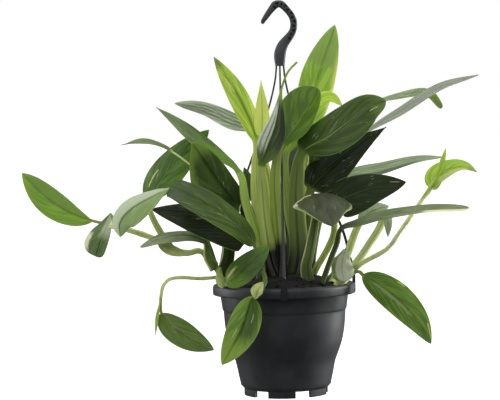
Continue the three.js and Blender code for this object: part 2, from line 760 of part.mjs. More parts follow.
        from: [411, 216, -22], stalk: [[422, 200, -22]],
        blade: [[431, 189, -22], [435, 177, -22], [447, 170, -22], [462, 167, -22], [477, 172, -24]],
        half: 14, turn: -20, curl: -30, rise: 0.45, stalkHalf: 2.6,
      },
      {
        from: [422, 200, -22], stalk: [[428, 190, -23]],
        blade: [[436, 178, -25], [441, 166, -28], [446, 148, -28]],
        half: 3.8, turn: 0, stalkHalf: 2, neck: 1.3,
      },
      {
        stalk: [[362, 256, -12], [374, 233, -8]],
        blade: [[383, 219, -6], [386, 213, -10], [388, 221, -16], [388, 237, -18]],
        half: 5, turn: 0, stalkHalf: 4.6, neck: 2,
      },
      {
        stalk: [[358, 271, -20]],
        blade: [[363, 275, -24], [381, 286, -27], [400, 301, -30], [418, 321, -30], [431, 344, -28]],
        half: 17, turn: 6, stalkHalf: 2.8,
      },
    ],
  },
  {
    name: 'leafy_stem_back',
    spot: [6, 42],
    color: LEAF_DARK,
    leaves: [
      {
        stalk: [[278, 262, 46], [266, 225, 56]],
        blade: [[246, 204, 70], [230, 194, 105], [214, 203, 150]],
        half: 20, turn: 30, reference: [0, 0, 1], stalkHalf: 6, neck: 3,
      },
      {
        stalk: [[300, 262, 46], [312, 225, 56]],
        blade: [[326, 196, 72], [342, 182, 108], [352, 190, 150]],
        half: 20, turn: -30, reference: [0, 0, 1], stalkHalf: 4,
      },
      {
        stalk: [[286, 250, 50], [290, 200, 62]],
        blade: [[293, 152, 74], [298, 124, 96], [300, 118, 140]],
        half: 18, turn: 0, reference: [0, 0, 1], stalkHalf: 7, neck: 3.4,
      },
    ],
  },
];

function makePlant(plant) {
  const [x, y] = plant.spot;
  const ground = soilTop(x, y);
  const low = ground - STEM_SINK;
  const high = ground + STEM_RISE;
  const core = new THREE.CylinderGeometry(STEM_R * STEM_TOP_SHARE, STEM_R, high - low, STEM_SIDES);
  core.rotateX(Math.PI / 2);
  core.translate(x, y, (high + low) / 2);
  let body = toSolid(core);
  const crown = new THREE.Vector3(x, y, ground + STEM_RISE * 0.5);
  (plant.shoots || []).forEach(({ path, r }, i) => {
    const points = path.map(fromPicture);
    if (i === 0) points.unshift(crown);
    body = body.add(toSolid(tube(points, r, SHOOT_SIDES, points.length * 2 - 2)));
  });
  for (const leaf of plant.leaves) body = body.add(makeLeaf(crown, leaf));
  return toGeometry(body);
}

// Assembly

const plant = new THREE.Group();
plant.position.z = -SADDLE_Z;

function addPiece(name, geometry, color, roughness) {
  const material = new THREE.MeshStandardMaterial({ color, roughness, metalness: 0 });
  const mesh = new THREE.Mesh(geometry, material);
  mesh.name = name;
  plant.add(mesh);
}

addPiece('pot', makePot(), 0x2f3233, 0.55);
addPiece('soil', makeSoil(plants), 0x1d1612, 0.95);
addPiece('hook', makeHook(), 0x34373a, 0.5);
for (const strand of STRANDS) addPiece(strand.name, makeStrand(strand), 0x303336, 0.5);
plants.forEach((p) => addPiece(p.name, makePlant(p), p.color, 0.45));

const model = new THREE.Group();
model.add(plant);

export default model;
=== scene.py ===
import math
import random
import bmesh
import bpy
from mathutils import Matrix, Vector, noise


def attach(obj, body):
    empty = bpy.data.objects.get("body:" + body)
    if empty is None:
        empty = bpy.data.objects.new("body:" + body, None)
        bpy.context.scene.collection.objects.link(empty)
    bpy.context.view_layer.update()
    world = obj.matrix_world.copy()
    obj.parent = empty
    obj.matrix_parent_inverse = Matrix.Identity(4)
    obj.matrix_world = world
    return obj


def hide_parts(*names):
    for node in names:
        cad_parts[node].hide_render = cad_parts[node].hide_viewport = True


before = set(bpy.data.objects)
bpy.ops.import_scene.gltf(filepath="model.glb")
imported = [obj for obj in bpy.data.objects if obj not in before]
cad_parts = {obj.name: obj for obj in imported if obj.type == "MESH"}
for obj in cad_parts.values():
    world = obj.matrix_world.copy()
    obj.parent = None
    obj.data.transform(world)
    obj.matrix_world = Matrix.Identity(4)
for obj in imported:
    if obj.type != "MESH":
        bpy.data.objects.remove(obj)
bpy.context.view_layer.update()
print("frame loaded")

# Where the picture was taken from. Places on leaves, shoots and hook are given as picture u, picture v
# and depth in mm, those of pot, soil and strands in mm from the pot's axis and above its feet; meshes are
# in metres.
photoView = {
    "eye": (-0.0354, -2.3, -0.1115), "pitch": 0.0423, "roll": 0.0201, "focal": 2110, "width": 500, "height": 400,
    "sensor": 36,
}
potFloor = -0.4215  # height of the pot's feet in the part's frame
mm = 0.001
fullTurn = 2 * math.pi


def fromPicture(point):
    u, v, depth = point
    eye, pitch, roll = photoView["eye"], photoView["pitch"], photoView["roll"]
    a = (u - photoView["width"] / 2) / photoView["focal"]
    b = (photoView["height"] / 2 - v) / photoView["focal"]
    x = a * math.cos(roll) + b * math.sin(roll)
    y = b * math.cos(roll) - a * math.sin(roll)
    far = (depth * mm - eye[1]) / (math.cos(pitch) + y * math.sin(pitch))
    return Vector((eye[0] + x * far, depth * mm, eye[2] + (y * math.cos(pitch) - math.sin(pitch)) * far))


def abovePotFloor(x, y, z):
    return Vector((x * mm, y * mm, z * mm + potFloor))


def addCamera():
    pitch, roll = photoView["pitch"], photoView["roll"]
    right = Vector((1, 0, 0))
    up = Vector((0, math.sin(pitch), math.cos(pitch)))
    forward = Vector((0, math.cos(pitch), -math.sin(pitch)))
    imageRight = right * math.cos(roll) - up * math.sin(roll)
    imageUp = right * math.sin(roll) + up * math.cos(roll)
    bpy.ops.object.camera_add(location=photoView["eye"])
    camera = bpy.context.object
    camera.name = "photoCamera"
    turned = Matrix((imageRight, imageUp, -forward)).transposed().to_4x4()
    camera.matrix_world = Matrix.Translation(photoView["eye"]) @ turned
    camera.data.sensor_width = photoView["sensor"]
    camera.data.lens = photoView["focal"] / photoView["width"] * photoView["sensor"]
    camera.data.clip_end = 100
    bpy.context.scene.camera = camera


addCamera()
print("camera placed")


# Helpers for materials. Colours are red, green and blue from 0 to 255, as seen in daylight.


def tint(colour):
    linear = []
    for value in colour:
        share = value / 255
        linear.append(share / 12.92 if share <= 0.04045 else ((share + 0.055) / 1.055) ** 2.4)
    return (*linear, 1)


def socketName(key):
    return "".join(" " + letter if letter.isupper() else letter for letter in key).title()


def makeGroup(name, inputs, outputs):
    tree = bpy.data.node_groups.new(name, "ShaderNodeTree")
    for key, value in inputs.items():
        kind = "NodeSocketColor" if isinstance(value, tuple) else "NodeSocketFloat"
        socket = tree.interface.new_socket(name=socketName(key), in_out="INPUT", socket_type=kind)
        socket.default_value = tint(value) if isinstance(value, tuple) else value
    for key in outputs:
        kind = "NodeSocketColor" if key == "Color" else "NodeSocketFloat"
        tree.interface.new_socket(name=key, in_out="OUTPUT", socket_type=kind)
    given = tree.nodes.new("NodeGroupInput").outputs
    return tree, {key: given[socketName(key)] for key in inputs}, tree.nodes.new("NodeGroupOutput").inputs


def useGroup(tree, group, values):
    node = tree.nodes.new("ShaderNodeGroup")
    node.node_tree = group
    for key, value in values.items():
        plug(node.inputs[socketName(key)], value)
    return node.outputs


def treeOf(*values):
    return next(value.id_data for value in values if isinstance(value, bpy.types.NodeSocket))


def plug(socket, value):
    if isinstance(value, bpy.types.NodeSocket):
        socket.id_data.links.new(value, socket)
    else:
        socket.default_value = tint(value) if socket.type == "RGBA" and len(value) == 3 else value


def plugAll(node, values):
    for socket, value in zip(node.inputs, values):
        plug(socket, value)
    return node.outputs[0]


def calc(operation, *values):
    node = treeOf(*values).nodes.new("ShaderNodeMath")
    node.operation = operation
    return plugAll(node, values)


def times(first, *others):
    for other in others:
        first = calc("MULTIPLY", first, other)
    return first


def plus(first, second):
    return calc("ADD", first, second)


def minus(first, second):
    return calc("SUBTRACT", first, second)


def scaled(value, factor, offset):
    return calc("MULTIPLY_ADD", value, factor, offset)


def ramp(value, low, high, toLow=0, toHigh=1):
    node = treeOf(value).nodes.new("ShaderNodeMapRange")
    node.interpolation_type = "SMOOTHSTEP"
    return plugAll(node, (value, low, high, toLow, toHigh))


def blendColour(factor, first, second, mode="MIX"):
    node = treeOf(factor, first, second).nodes.new("ShaderNodeMix")
    node.data_type = "RGBA"
    node.blend_type = mode
    for index, value in ((0, factor), (6, first), (7, second)):
        plug(node.inputs[index], value)
    return node.outputs[2]


def cloudAt(place, scale, detail=2):
    node = treeOf(place).nodes.new("ShaderNodeTexNoise")
    for key, value in (("Vector", place), ("Scale", scale), ("Detail", detail)):
        plug(node.inputs[key], value)
    return node.outputs[0]


def cloud(x, y, z, detail=2):
    place = treeOf(x, y, z).nodes.new("ShaderNodeCombineXYZ")
    return cloudAt(plugAll(place, (x, y, z)), 1, detail)


def readAttribute(tree, name):
    node = tree.nodes.new("ShaderNodeAttribute")
    node.attribute_name = name
    return node.outputs["Fac"]


def objectPlace(tree):
    return tree.nodes.new("ShaderNodeTexCoord").outputs["Object"]


def startMaterial(name):
    material = bpy.data.materials.new(name)
    material.use_nodes = True
    return material, material.node_tree, material.node_tree.nodes["Principled BSDF"]


def dressShader(shader, colour, rough, height, strength, depth):
    bump = shader.id_data.nodes.new("ShaderNodeBump")
    for key, value in (("Strength", strength), ("Distance", depth * mm), ("Height", height)):
        plug(bump.inputs[key], value)
    for key, value in (("Base Color", colour), ("Roughness", rough), ("Normal", bump.outputs[0])):
        plug(shader.inputs[key], value)


# Colours of each kind of leaf and how strongly each marking shows
leafBasics = dict(veinCount=11, stalkWing=0.25, rootShade=0.9)
leafLooks = {
    "deep": dict(
        deep=(43, 67, 20), light=(70, 101, 29), veinColour=(89, 118, 46), ribColour=(132, 166, 67),
        underColour=(110, 137, 79), fleckColour=(236, 236, 192), stalkColour=(104, 124, 56),
        stalkEdge=(160, 176, 104), splash=0.6, vein=0.13, fleck=0.6, under=0.8, gloss=0.3, rib=0.2),
    "mid": dict(
        deep=(67, 103, 24), light=(106, 146, 41), veinColour=(125, 163, 62), ribColour=(168, 202, 86),
        underColour=(134, 166, 101), fleckColour=(236, 236, 204), stalkColour=(138, 160, 70),
        stalkEdge=(190, 206, 124), splash=0.7, vein=0.15, fleck=0.6, under=0.75, gloss=0.3, rib=0.2),
    "lime": dict(
        deep=(154, 197, 41), light=(204, 235, 70), veinColour=(226, 236, 110), ribColour=(235, 236, 125),
        underColour=(180, 214, 91), fleckColour=(236, 236, 211), stalkColour=(192, 210, 104),
        stalkEdge=(222, 232, 156), splash=0.9, vein=0.3, fleck=0.3, under=0.6, gloss=0.3, rib=0.35),
    "grey": dict(
        deep=(134, 156, 110), light=(175, 192, 149), veinColour=(77, 98, 55), ribColour=(108, 127, 79),
        underColour=(163, 182, 137), fleckColour=(236, 236, 216), stalkColour=(132, 150, 78),
        stalkEdge=(186, 198, 132), splash=0.7, vein=0.6, fleck=0.3, under=0.5, gloss=0.36, rib=0.6),
}
leafMarks = ("across", "along", "stalk", "upper")
skinOutputs = ("Color", "Roughness", "Height")

# How the markings lie on every leaf: side veins that lean and arch towards the tip, splashes and
# cream flecks that follow them, a pale rib, and painted shade that darkens the stalks towards their roots
markings = {
    "veinLean": -0.42, "veinArch": 0.14, "sideShift": 1.9, "veinDrift": 3.4, "fineVein": 0.4,
    "veinsInside": (0.98, 0.8), "splashEdge": (0.42, 0.62), "fleckEdge": (0.69, 0.73), "fleckCrowd": (0.5, 0.6),
    "ribWidth": 0.07, "ribTaper": -0.05, "ribEdge": (0.35, 1), "rimStart": 0.95, "rimShare": 0.5,
    "stalkShade": (0.86, 0.88, 0.78, 1), "wingSpan": (0.62, 0.94), "rootShadeColour": (20, 25, 13),
    "rootShadeSpan": (0.1, 0.38), "bladeStart": 0.05, "bumpFade": (0.5, 0.9), "veinDepth": -0.55, "ribDepth": -0.9,
}


def makeLeafSkin():
    look = markings
    given = {key: 0 for key in (*leafMarks, "seed")}
    tree, wire, out = makeGroup("leafSkin", {**given, **leafBasics, **leafLooks["deep"]}, skinOutputs)
    across, along, stalk, upper, seed = (wire[key] for key in given)
    spread = calc("ABSOLUTE", across)
    course = minus(scaled(spread, look["veinLean"], along), times(spread, spread, look["veinArch"]))

    sideShift = times(calc("GREATER_THAN", across, 0), look["sideShift"])
    drift = times(cloud(times(along, 7), across, seed), look["veinDrift"])
    phase = plus(scaled(course, times(wire["veinCount"], fullTurn), sideShift), drift)
    inside = ramp(spread, *look["veinsInside"])
    veinLine = times(calc("POWER", scaled(calc("SINE", phase), 0.5, 0.5), 5), inside)
    fineLine = times(calc("POWER", scaled(calc("SINE", times(phase, 3)), 0.5, 0.5), 3), inside)

    splashCloud = cloud(times(course, 9), times(across, 2), seed, 3)
    splash = times(ramp(splashCloud, *look["splashEdge"]), wire["splash"])
    fleckCloud = cloud(times(course, 60), times(across, 2.3), plus(seed, 3.1), 1)
    crowd = cloud(times(along, 5), across, plus(seed, 8.7))
    fleck = times(ramp(fleckCloud, *look["fleckEdge"]), ramp(crowd, *look["fleckCrowd"]), wire["fleck"])
    ribWidth = scaled(along, look["ribTaper"], look["ribWidth"])
    rib = minus(1, ramp(calc("DIVIDE", spread, ribWidth), *look["ribEdge"]))

    skin = blendColour(splash, wire["deep"], wire["light"])
    veins = times(calc("MAXIMUM", veinLine, times(fineLine, look["fineVein"])), wire["vein"])
    skin = blendColour(veins, skin, wire["veinColour"])
    skin = blendColour(fleck, skin, wire["fleckColour"])
    below = minus(1, upper)
    underSkin = blendColour(veins, wire["underColour"], wire["veinColour"])
    skin = blendColour(times(below, wire["under"]), skin, underSkin)
    skin = blendColour(times(rib, wire["rib"]), skin, wire["ribColour"])
    skin = blendColour(ramp(spread, look["rimStart"], 1, 0, look["rimShare"]), skin, wire["ribColour"])

    stripes = cloud(times(across, 1.7), times(stalk, 1.3), plus(seed, upper))
    shaded = blendColour(1, wire["stalkColour"], look["stalkShade"], "MULTIPLY")
    stalkSkin = blendColour(ramp(stripes, 0.35, 0.65), shaded, wire["stalkColour"])
    wing = times(ramp(spread, *look["wingSpan"]), wire["stalkWing"])
    stalkSkin = blendColour(wing, stalkSkin, wire["stalkEdge"])
    # painted shade: the stalks turn near-black towards the crown, where the leaves crowd together
    rootShade = times(ramp(stalk, *look["rootShadeSpan"], 1, 0), wire["rootShade"])
    stalkSkin = blendColour(rootShade, stalkSkin, look["rootShadeColour"])
    onBlade = ramp(along, 0, look["bladeStart"])
    plug(out["Color"], blendColour(onBlade, stalkSkin, skin))
    plug(out["Roughness"], scaled(splashCloud, 0.08, scaled(below, 0.14, wire["gloss"])))

    quilt = times(scaled(fineLine, 0.25, veinLine), look["veinDepth"])
    blade = times(plus(quilt, times(rib, look["ribDepth"])), onBlade, ramp(along, *look["bumpFade"], 1, 0))
    plug(out["Height"], plus(blade, times(stripes, minus(1.2, onBlade))))
    return tree


# A zone is a soft-edged patch of another colour on a blade: from and to along the blade (0 to 1), from
# and to across it (-1 to 1), colour, softness of its edge, strength, and slant towards the base
whole = (-1.1, 1.1)
cream = (236, 236, 204)


def zone(along, across, colour, soft=0.04, strength=1, slant=0):
    place = dict(alongFrom=along[0], alongTo=along[1], acrossFrom=across[0], acrossTo=across[1])
    return {**place, "soft": soft, "slant": slant}, colour, strength


def makeLeafZone():
    tree, wire, out = makeGroup(
        "leafZone", {"across": 0, "along": 0, "seed": 0, **zone((0, 1), (-1, 1), cream)[0]}, ("Mask",))
    along, across = wire["along"], wire["across"]
    waver = times(minus(cloud(times(along, 14), times(across, 4), wire["seed"]), 0.5), 0.12)
    slanted = scaled(calc("ABSOLUTE", across), times(wire["slant"], -1), along)
    mask = ramp(along, 0, 0.03)
    for key, place in (("along", slanted), ("across", across)):
        place = plus(place, waver)
        enter = calc("DIVIDE", minus(place, wire[key + "From"]), wire["soft"])
        leave = calc("DIVIDE", minus(wire[key + "To"], place), wire["soft"])
        mask = times(mask, ramp(enter, -1, 1), ramp(leave, -1, 1))
    plug(out["Mask"], mask)
    return tree


leafSkin = makeLeafSkin()
leafZone = makeLeafZone()


def makeLeafMaterial(name, leaf, seed):
    material, tree, shader = startMaterial(name)
    marks = {key: readAttribute(tree, key) for key in leafMarks}
    looks = {**leafBasics, **leafLooks[leaf["look"]]}
    if leaf["start"]:
        looks["rootShade"] = 0.15
    looks.update({key: leaf[key] for key in looks if key in leaf})
    skin = useGroup(tree, leafSkin, {**marks, "seed": seed, **looks})
    colour = skin["Color"]
    for place, paint, strength in leaf["zones"]:
        spot = {"across": marks["across"], "along": marks["along"], "seed": seed, **place}
        colour = blendColour(times(useGroup(tree, leafZone, spot)["Mask"], strength), colour, paint)
    dressShader(shader, colour, skin["Roughness"], skin["Height"], strength=0.4, depth=0.6)
    for key, value in (("Specular IOR Level", leaf["shine"]), ("Subsurface Weight", 0.12),
                       ("Subsurface Radius", (0.5, 1, 0.2)), ("Subsurface Scale", 1.5 * mm)):
        plug(shader.inputs[key], value)
    return material


# Helpers for meshes. A ring tube is a cylinder with its sides cut across, whose rings are then moved to
# their sections.


def addShape(primitive, **given):
    bpy.ops.object.select_all(action="DESELECT")
    primitive(**given)
    return bpy.context.object


def cornerOf(vertex, corners):
    share = math.atan2(vertex.co.y, vertex.co.x) / fullTurn
    return corners[round(share * len(corners)) % len(corners)]


def joinPieces(pieces):
    bpy.ops.object.select_all(action="DESELECT")
    for piece in pieces:
        piece.select_set(True)
    bpy.context.view_layer.objects.active = pieces[0]
    if len(pieces) > 1:
        bpy.ops.object.join()
    return pieces[0]


def smoothFaces(piece):
    for polygon in piece.data.polygons:
        polygon.use_smooth = True


def faceOutward():
    bpy.ops.object.mode_set(mode="EDIT")
    bpy.ops.mesh.select_all(action="SELECT")
    bpy.ops.mesh.normals_make_consistent(inside=False)
    bpy.ops.object.mode_set(mode="OBJECT")


def addRingTube(name, sections, marks):
    rings, columns = len(sections), len(sections[0])
    tube = addShape(bpy.ops.mesh.primitive_cylinder_add, vertices=columns, radius=1, depth=1)
    tube.name = tube.data.name = name
    bpy.ops.object.mode_set(mode="EDIT")
    bpy.ops.mesh.select_mode(type="EDGE")
    bpy.ops.mesh.select_all(action="DESELECT")
    mesh = bmesh.from_edit_mesh(tube.data)
    for edge in mesh.edges:
        edge.select = abs(edge.verts[0].co.z - edge.verts[1].co.z) > 0.5
    bmesh.update_edit_mesh(tube.data)
    bpy.ops.mesh.subdivide(number_cuts=rings - 2)
    bpy.ops.object.mode_set(mode="OBJECT")
    tube.data.uv_layers.remove(tube.data.uv_layers[0])
    places, found = [], []
    for vertex in tube.data.vertices:
        ring, column = round((vertex.co.z + 0.5) * (rings - 1)), cornerOf(vertex, range(columns))
        found.append((ring, column))
        places.extend(sections[ring][column])
    tube.data.vertices.foreach_set("co", places)
    for key, values in marks.items():
        attribute = tube.data.attributes.new(key, "FLOAT", "POINT")
        attribute.data.foreach_set("value", [values[ring][column] for ring, column in found])
    tube.data.update()
    smoothFaces(tube)
    return tube


def finishPiece(piece, material, slot, *nodes):
    if not piece.data.materials:
        piece.data.materials.append(material)
    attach(piece, "root")
    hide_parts(*nodes)


# A smooth path through points, with the same course as the solids' own paths


def pathPoint(points, t):
    last = len(points) - 1
    place = min(max(t, 0), 1) * last
    index = min(int(place), last - 1)
    weight = place - index
    p1, p2 = points[index], points[index + 1]
    p0 = points[index - 1] if index > 0 else p1 * 2 - p2
    p3 = points[index + 2] if index + 2 <= last else p2 * 2 - p1
    d0, d1, d2 = (max((b - a).length, 1e-9) ** 0.5 for a, b in ((p0, p1), (p1, p2), (p2, p3)))
    t1 = ((p1 - p0) / d0 - (p2 - p0) / (d0 + d1) + (p2 - p1) / d1) * d1
    t2 = ((p2 - p1) / d1 - (p3 - p1) / (d1 + d2) + (p3 - p2) / d2) * d1
    return (
        p1 + t1 * weight
        + (p1 * -3 + p2 * 3 - t1 * 2 - t2) * weight ** 2
        + (p1 * 2 - p2 * 2 + t1 + t2) * weight ** 3
    )


def pathStops(points, t0, t1, fractions):
    fine = 60
    lengths, last = [0], pathPoint(points, t0)
    for i in range(fine):
        following = pathPoint(points, t0 + (t1 - t0) * (i + 1) / fine)
        lengths.append(lengths[-1] + (following - last).length)
        last = following
    stops = []
    for share in fractions:
        target = share * lengths[-1]
        i = 1
        while i < fine and lengths[i] < target:
            i += 1
        part = (target - lengths[i - 1]) / (lengths[i] - lengths[i - 1])
        t = t0 + (t1 - t0) * (i - 1 + part) / fine
        ahead = (pathPoint(points, t + 1e-3) - pathPoint(points, t - 1e-3)).normalized()
        stops.append((share, pathPoint(points, t), ahead))
    return lengths[-1], stops


def smooth(low, high, value):
    share = min(max((value - low) / (high - low), 0), 1)
    return share * share * (3 - 2 * share)


# Leaves: the columns crowd towards the rib and the edges, and the rings towards both ends. Widths are in
# mm, turns, folds and curls in degrees; rise and fall set how the blade widens and narrows, and the
# values for the other side are those of the half that lies right of a leaf that points up.

halfAcross = [0, 0.035, 0.1, 0.22, 0.38, 0.55, 0.72, 0.87, 0.96, 1]
leafAcross = [-s for s in reversed(halfAcross[1:])] + halfAcross
bladeRings = 34
usualLeaf = dict(
    look="deep", start=None, reference=(0, -1, 0), turn=0, tipTurn=None, sides=(1, 1), fold=8, curl=-14,
    rise=0.55, riseOther=None, fall=0.8, fallOther=None, wave=0.8, waves=1.5, neck=1.9, stalkHalf=3.2,
    tipHalf=0.5, channel=0.1, shine=0.32, zones=[])
bladeBody = {
    "steps": 6, "thin": 0.4, "edgeThinner": 0.62, "ribHalf": 1.1, "ribSink": 0.35, "ribKeel": 0.55,
    "otherWave": 1.3, "roughScale": 38, "roughShare": 0.9,
}
stalkBody = {
    "ringEvery": 5, "taper": 0.8, "thick": 0.6, "leastThick": 0.8, "neckFrom": 0.82, "spread": 84, "wing": 0.45,
    "groove": 1.25,
}


def bladeWidth(leaf, f, other):
    rise, fall = leaf["rise"], leaf["fall"]
    if other:
        rise, fall = leaf["riseOther"] or rise, leaf["fallOther"] or fall
    peak = rise / (rise + fall)
    outline = (f ** rise * (1 - f) ** fall) / (peak ** rise * (1 - peak) ** fall)
    return max(leaf["half"] * leaf["sides"][other] * outline, leaf["neck"] if f < 0.5 else leaf["tipHalf"])


def bladeSection(leaf, f):
    body = bladeBody
    thick = max(body["thin"], leaf["neck"] * 0.55 * (1 - f * 12))
    upper, under = [], []
    steps = body["steps"]
    for s in leafAcross:
        m, side = abs(s), 1 if s > 0 else -1
        width = bladeWidth(leaf, f, int(s > 0))
        out = lift = 0
        for i in range(steps):
            bend = math.radians(leaf["fold"] + leaf["curl"] * m * (i + 0.5) / steps)
            out += width * m / steps * math.cos(bend)
            lift += width * m / steps * math.sin(bend)
        lean = math.radians(leaf["fold"] + leaf["curl"] * m) * (1 if m > 0 else 0)
        lift += leaf["wave"] * m * m * math.sin(leaf["waves"] * fullTurn * f + (body["otherWave"] if s > 0 else 0))
        half = thick * (1 - body["edgeThinner"] * m ** 3)
        rib = math.exp(-((s * width) / body["ribHalf"]) ** 2) * (1 - f) ** 0.6 * smooth(3, 9, width)
        for row, swell in ((upper, half - body["ribSink"] * rib), (under, -half - body["ribKeel"] * rib)):
            row.append((side * (out - math.sin(lean) * swell), lift + math.cos(lean) * swell))
    return upper + under[::-1]


def stalkSection(wide, thick, channel):
    upper, under = [], []
    for s in leafAcross:
        angle = math.radians(90 - stalkBody["spread"] * s)
        x, z = wide * math.cos(angle), thick * math.sin(angle)
        wing = channel * thick * stalkBody["wing"] * math.cos(angle) ** 4
        upper.append((x, z - channel * thick * stalkBody["groove"] * math.sin(angle) ** 2 + wing))
        under.append((x, -z + wing))
    return upper + under[::-1]


def facing(ahead, reference, turn):
    plain = (reference - ahead * reference.dot(ahead)).normalized()
    return (Matrix.Rotation(math.radians(turn), 3, ahead) @ plain).normalized()


def makeLeaf(name, crown, given, seed):
    leaf = {**usualLeaf, **given}
    start = fromPicture(leaf["start"]) if leaf["start"] else crown
    points = [start] + [fromPicture(p) for p in leaf["stalk"] + leaf["blade"]]
    baseT = (len(leaf["stalk"]) + 1) / (len(points) - 1)
    reference, turn = Vector(leaf["reference"]), leaf["turn"]
    extraTurn = 0 if leaf["tipTurn"] is None else leaf["tipTurn"] - turn

    shares = [0.5 - 0.5 * math.cos(math.pi * i / (bladeRings - 1)) for i in range(bladeRings)]
    bladeStops = pathStops(points, baseT, 1, shares)[1]
    normals = [facing(d, reference, turn + extraTurn * f) for f, p, d in bladeStops]

    stalkLength = pathStops(points, 0, baseT, [1])[0]
    count = max(6, min(30, round(stalkLength / (stalkBody["ringEvery"] * mm))))
    stalkStops = pathStops(points, 0, baseT, [i / count for i in range(count)])[1]
    carried, stalkNormals = normals[0], []
    for f, p, d in reversed(stalkStops):
        carried = (carried - d * carried.dot(d)).normalized()
        stalkNormals.insert(0, carried)

    sections, marks = [], {key: [] for key in leafMarks}
    across = leafAcross + leafAcross[::-1]
    columns = len(across)
    upper = [1] * len(leafAcross) + [0] * len(leafAcross)

    def addSection(place, ahead, normal, outline, along, stalk):
        side = ahead.cross(normal)
        sections.append([place + side * x * mm + normal * z * mm for x, z in outline])
        for key, values in zip(leafMarks, (across, [along] * columns, [stalk] * columns, upper)):
            marks[key].append(values)

    neckOutline = bladeSection(leaf, 0)
    for (f, p, d), normal in zip(stalkStops, stalkNormals):
        wide = leaf["neck"] + (leaf["stalkHalf"] - leaf["neck"]) * (1 - f) ** stalkBody["taper"]
        thick = max(leaf["neck"] * stalkBody["leastThick"], wide * stalkBody["thick"])
        outline = stalkSection(wide, thick, leaf["channel"])
        share = smooth(stalkBody["neckFrom"], 1, f)
        outline = [
            (x + (toX - x) * share, z + (toZ - z) * share)
            for (x, z), (toX, toZ) in zip(outline, neckOutline)]
        addSection(p, d, normal, outline, 0, f)
    for (f, p, d), normal in zip(bladeStops, normals):
        addSection(p, d, normal, bladeSection(leaf, f), f, 1)

    rough = Vector((seed * 3.7, seed, 0))
    for ring, section in enumerate(sections):
        for column, place in enumerate(section):
            m = abs(across[column]) * (0 if marks["along"][ring][0] == 0 else 1)
            nudge = noise.noise(place * bladeBody["roughScale"] + rough) * m * m * leaf["wave"]
            section[column] = place + normals[0] * nudge * bladeBody["roughShare"] * mm
    return addRingTube(name, sections, marks), makeLeafMaterial(name + "Skin", leaf, seed)


# Shoots, stems and strands; rings and joints in mm from one to the next
shootShape = {"columns": 14, "ringEvery": 3, "jointEvery": 26, "jointSwell": 0.16, "jointSharpness": 12}


def makeShoot(name, points, radius, seed, jointed=True):
    length = pathStops(points, 0, 1, [1])[0]
    count = max(6, round(length / (shootShape["ringEvery"] * mm)))
    stops = pathStops(points, 0, 1, [i / count for i in range(count + 1)])[1]
    columns, jointEvery = shootShape["columns"], shootShape["jointEvery"] * mm
    turns = [fullTurn * i / columns for i in range(columns)]
    normal = facing(stops[0][2], Vector((0, -1, 0.2)), 0)
    sections, marks = [], {"stalk": [], "around": []}
    for f, p, d in stops:
        normal = (normal - d * normal.dot(d)).normalized()
        side = d.cross(normal)
        joint = (0.5 + 0.5 * math.cos(f * length / jointEvery * fullTurn + seed)) ** shootShape["jointSharpness"]
        jointedSwell, plainSwell = 1 + shootShape["jointSwell"] * joint - 0.05 * f, 0.75 + 0.4 * f + 0.3 * f ** 6
        swell = radius * mm * (jointedSwell if jointed else plainSwell)
        sections.append([p - side * math.cos(turn) * swell + normal * math.sin(turn) * swell for turn in turns])
        marks["stalk"].append([f * length / jointEvery] * columns)
        marks["around"].append([math.sin(turn) for turn in turns])
    return addRingTube(name, sections, marks)
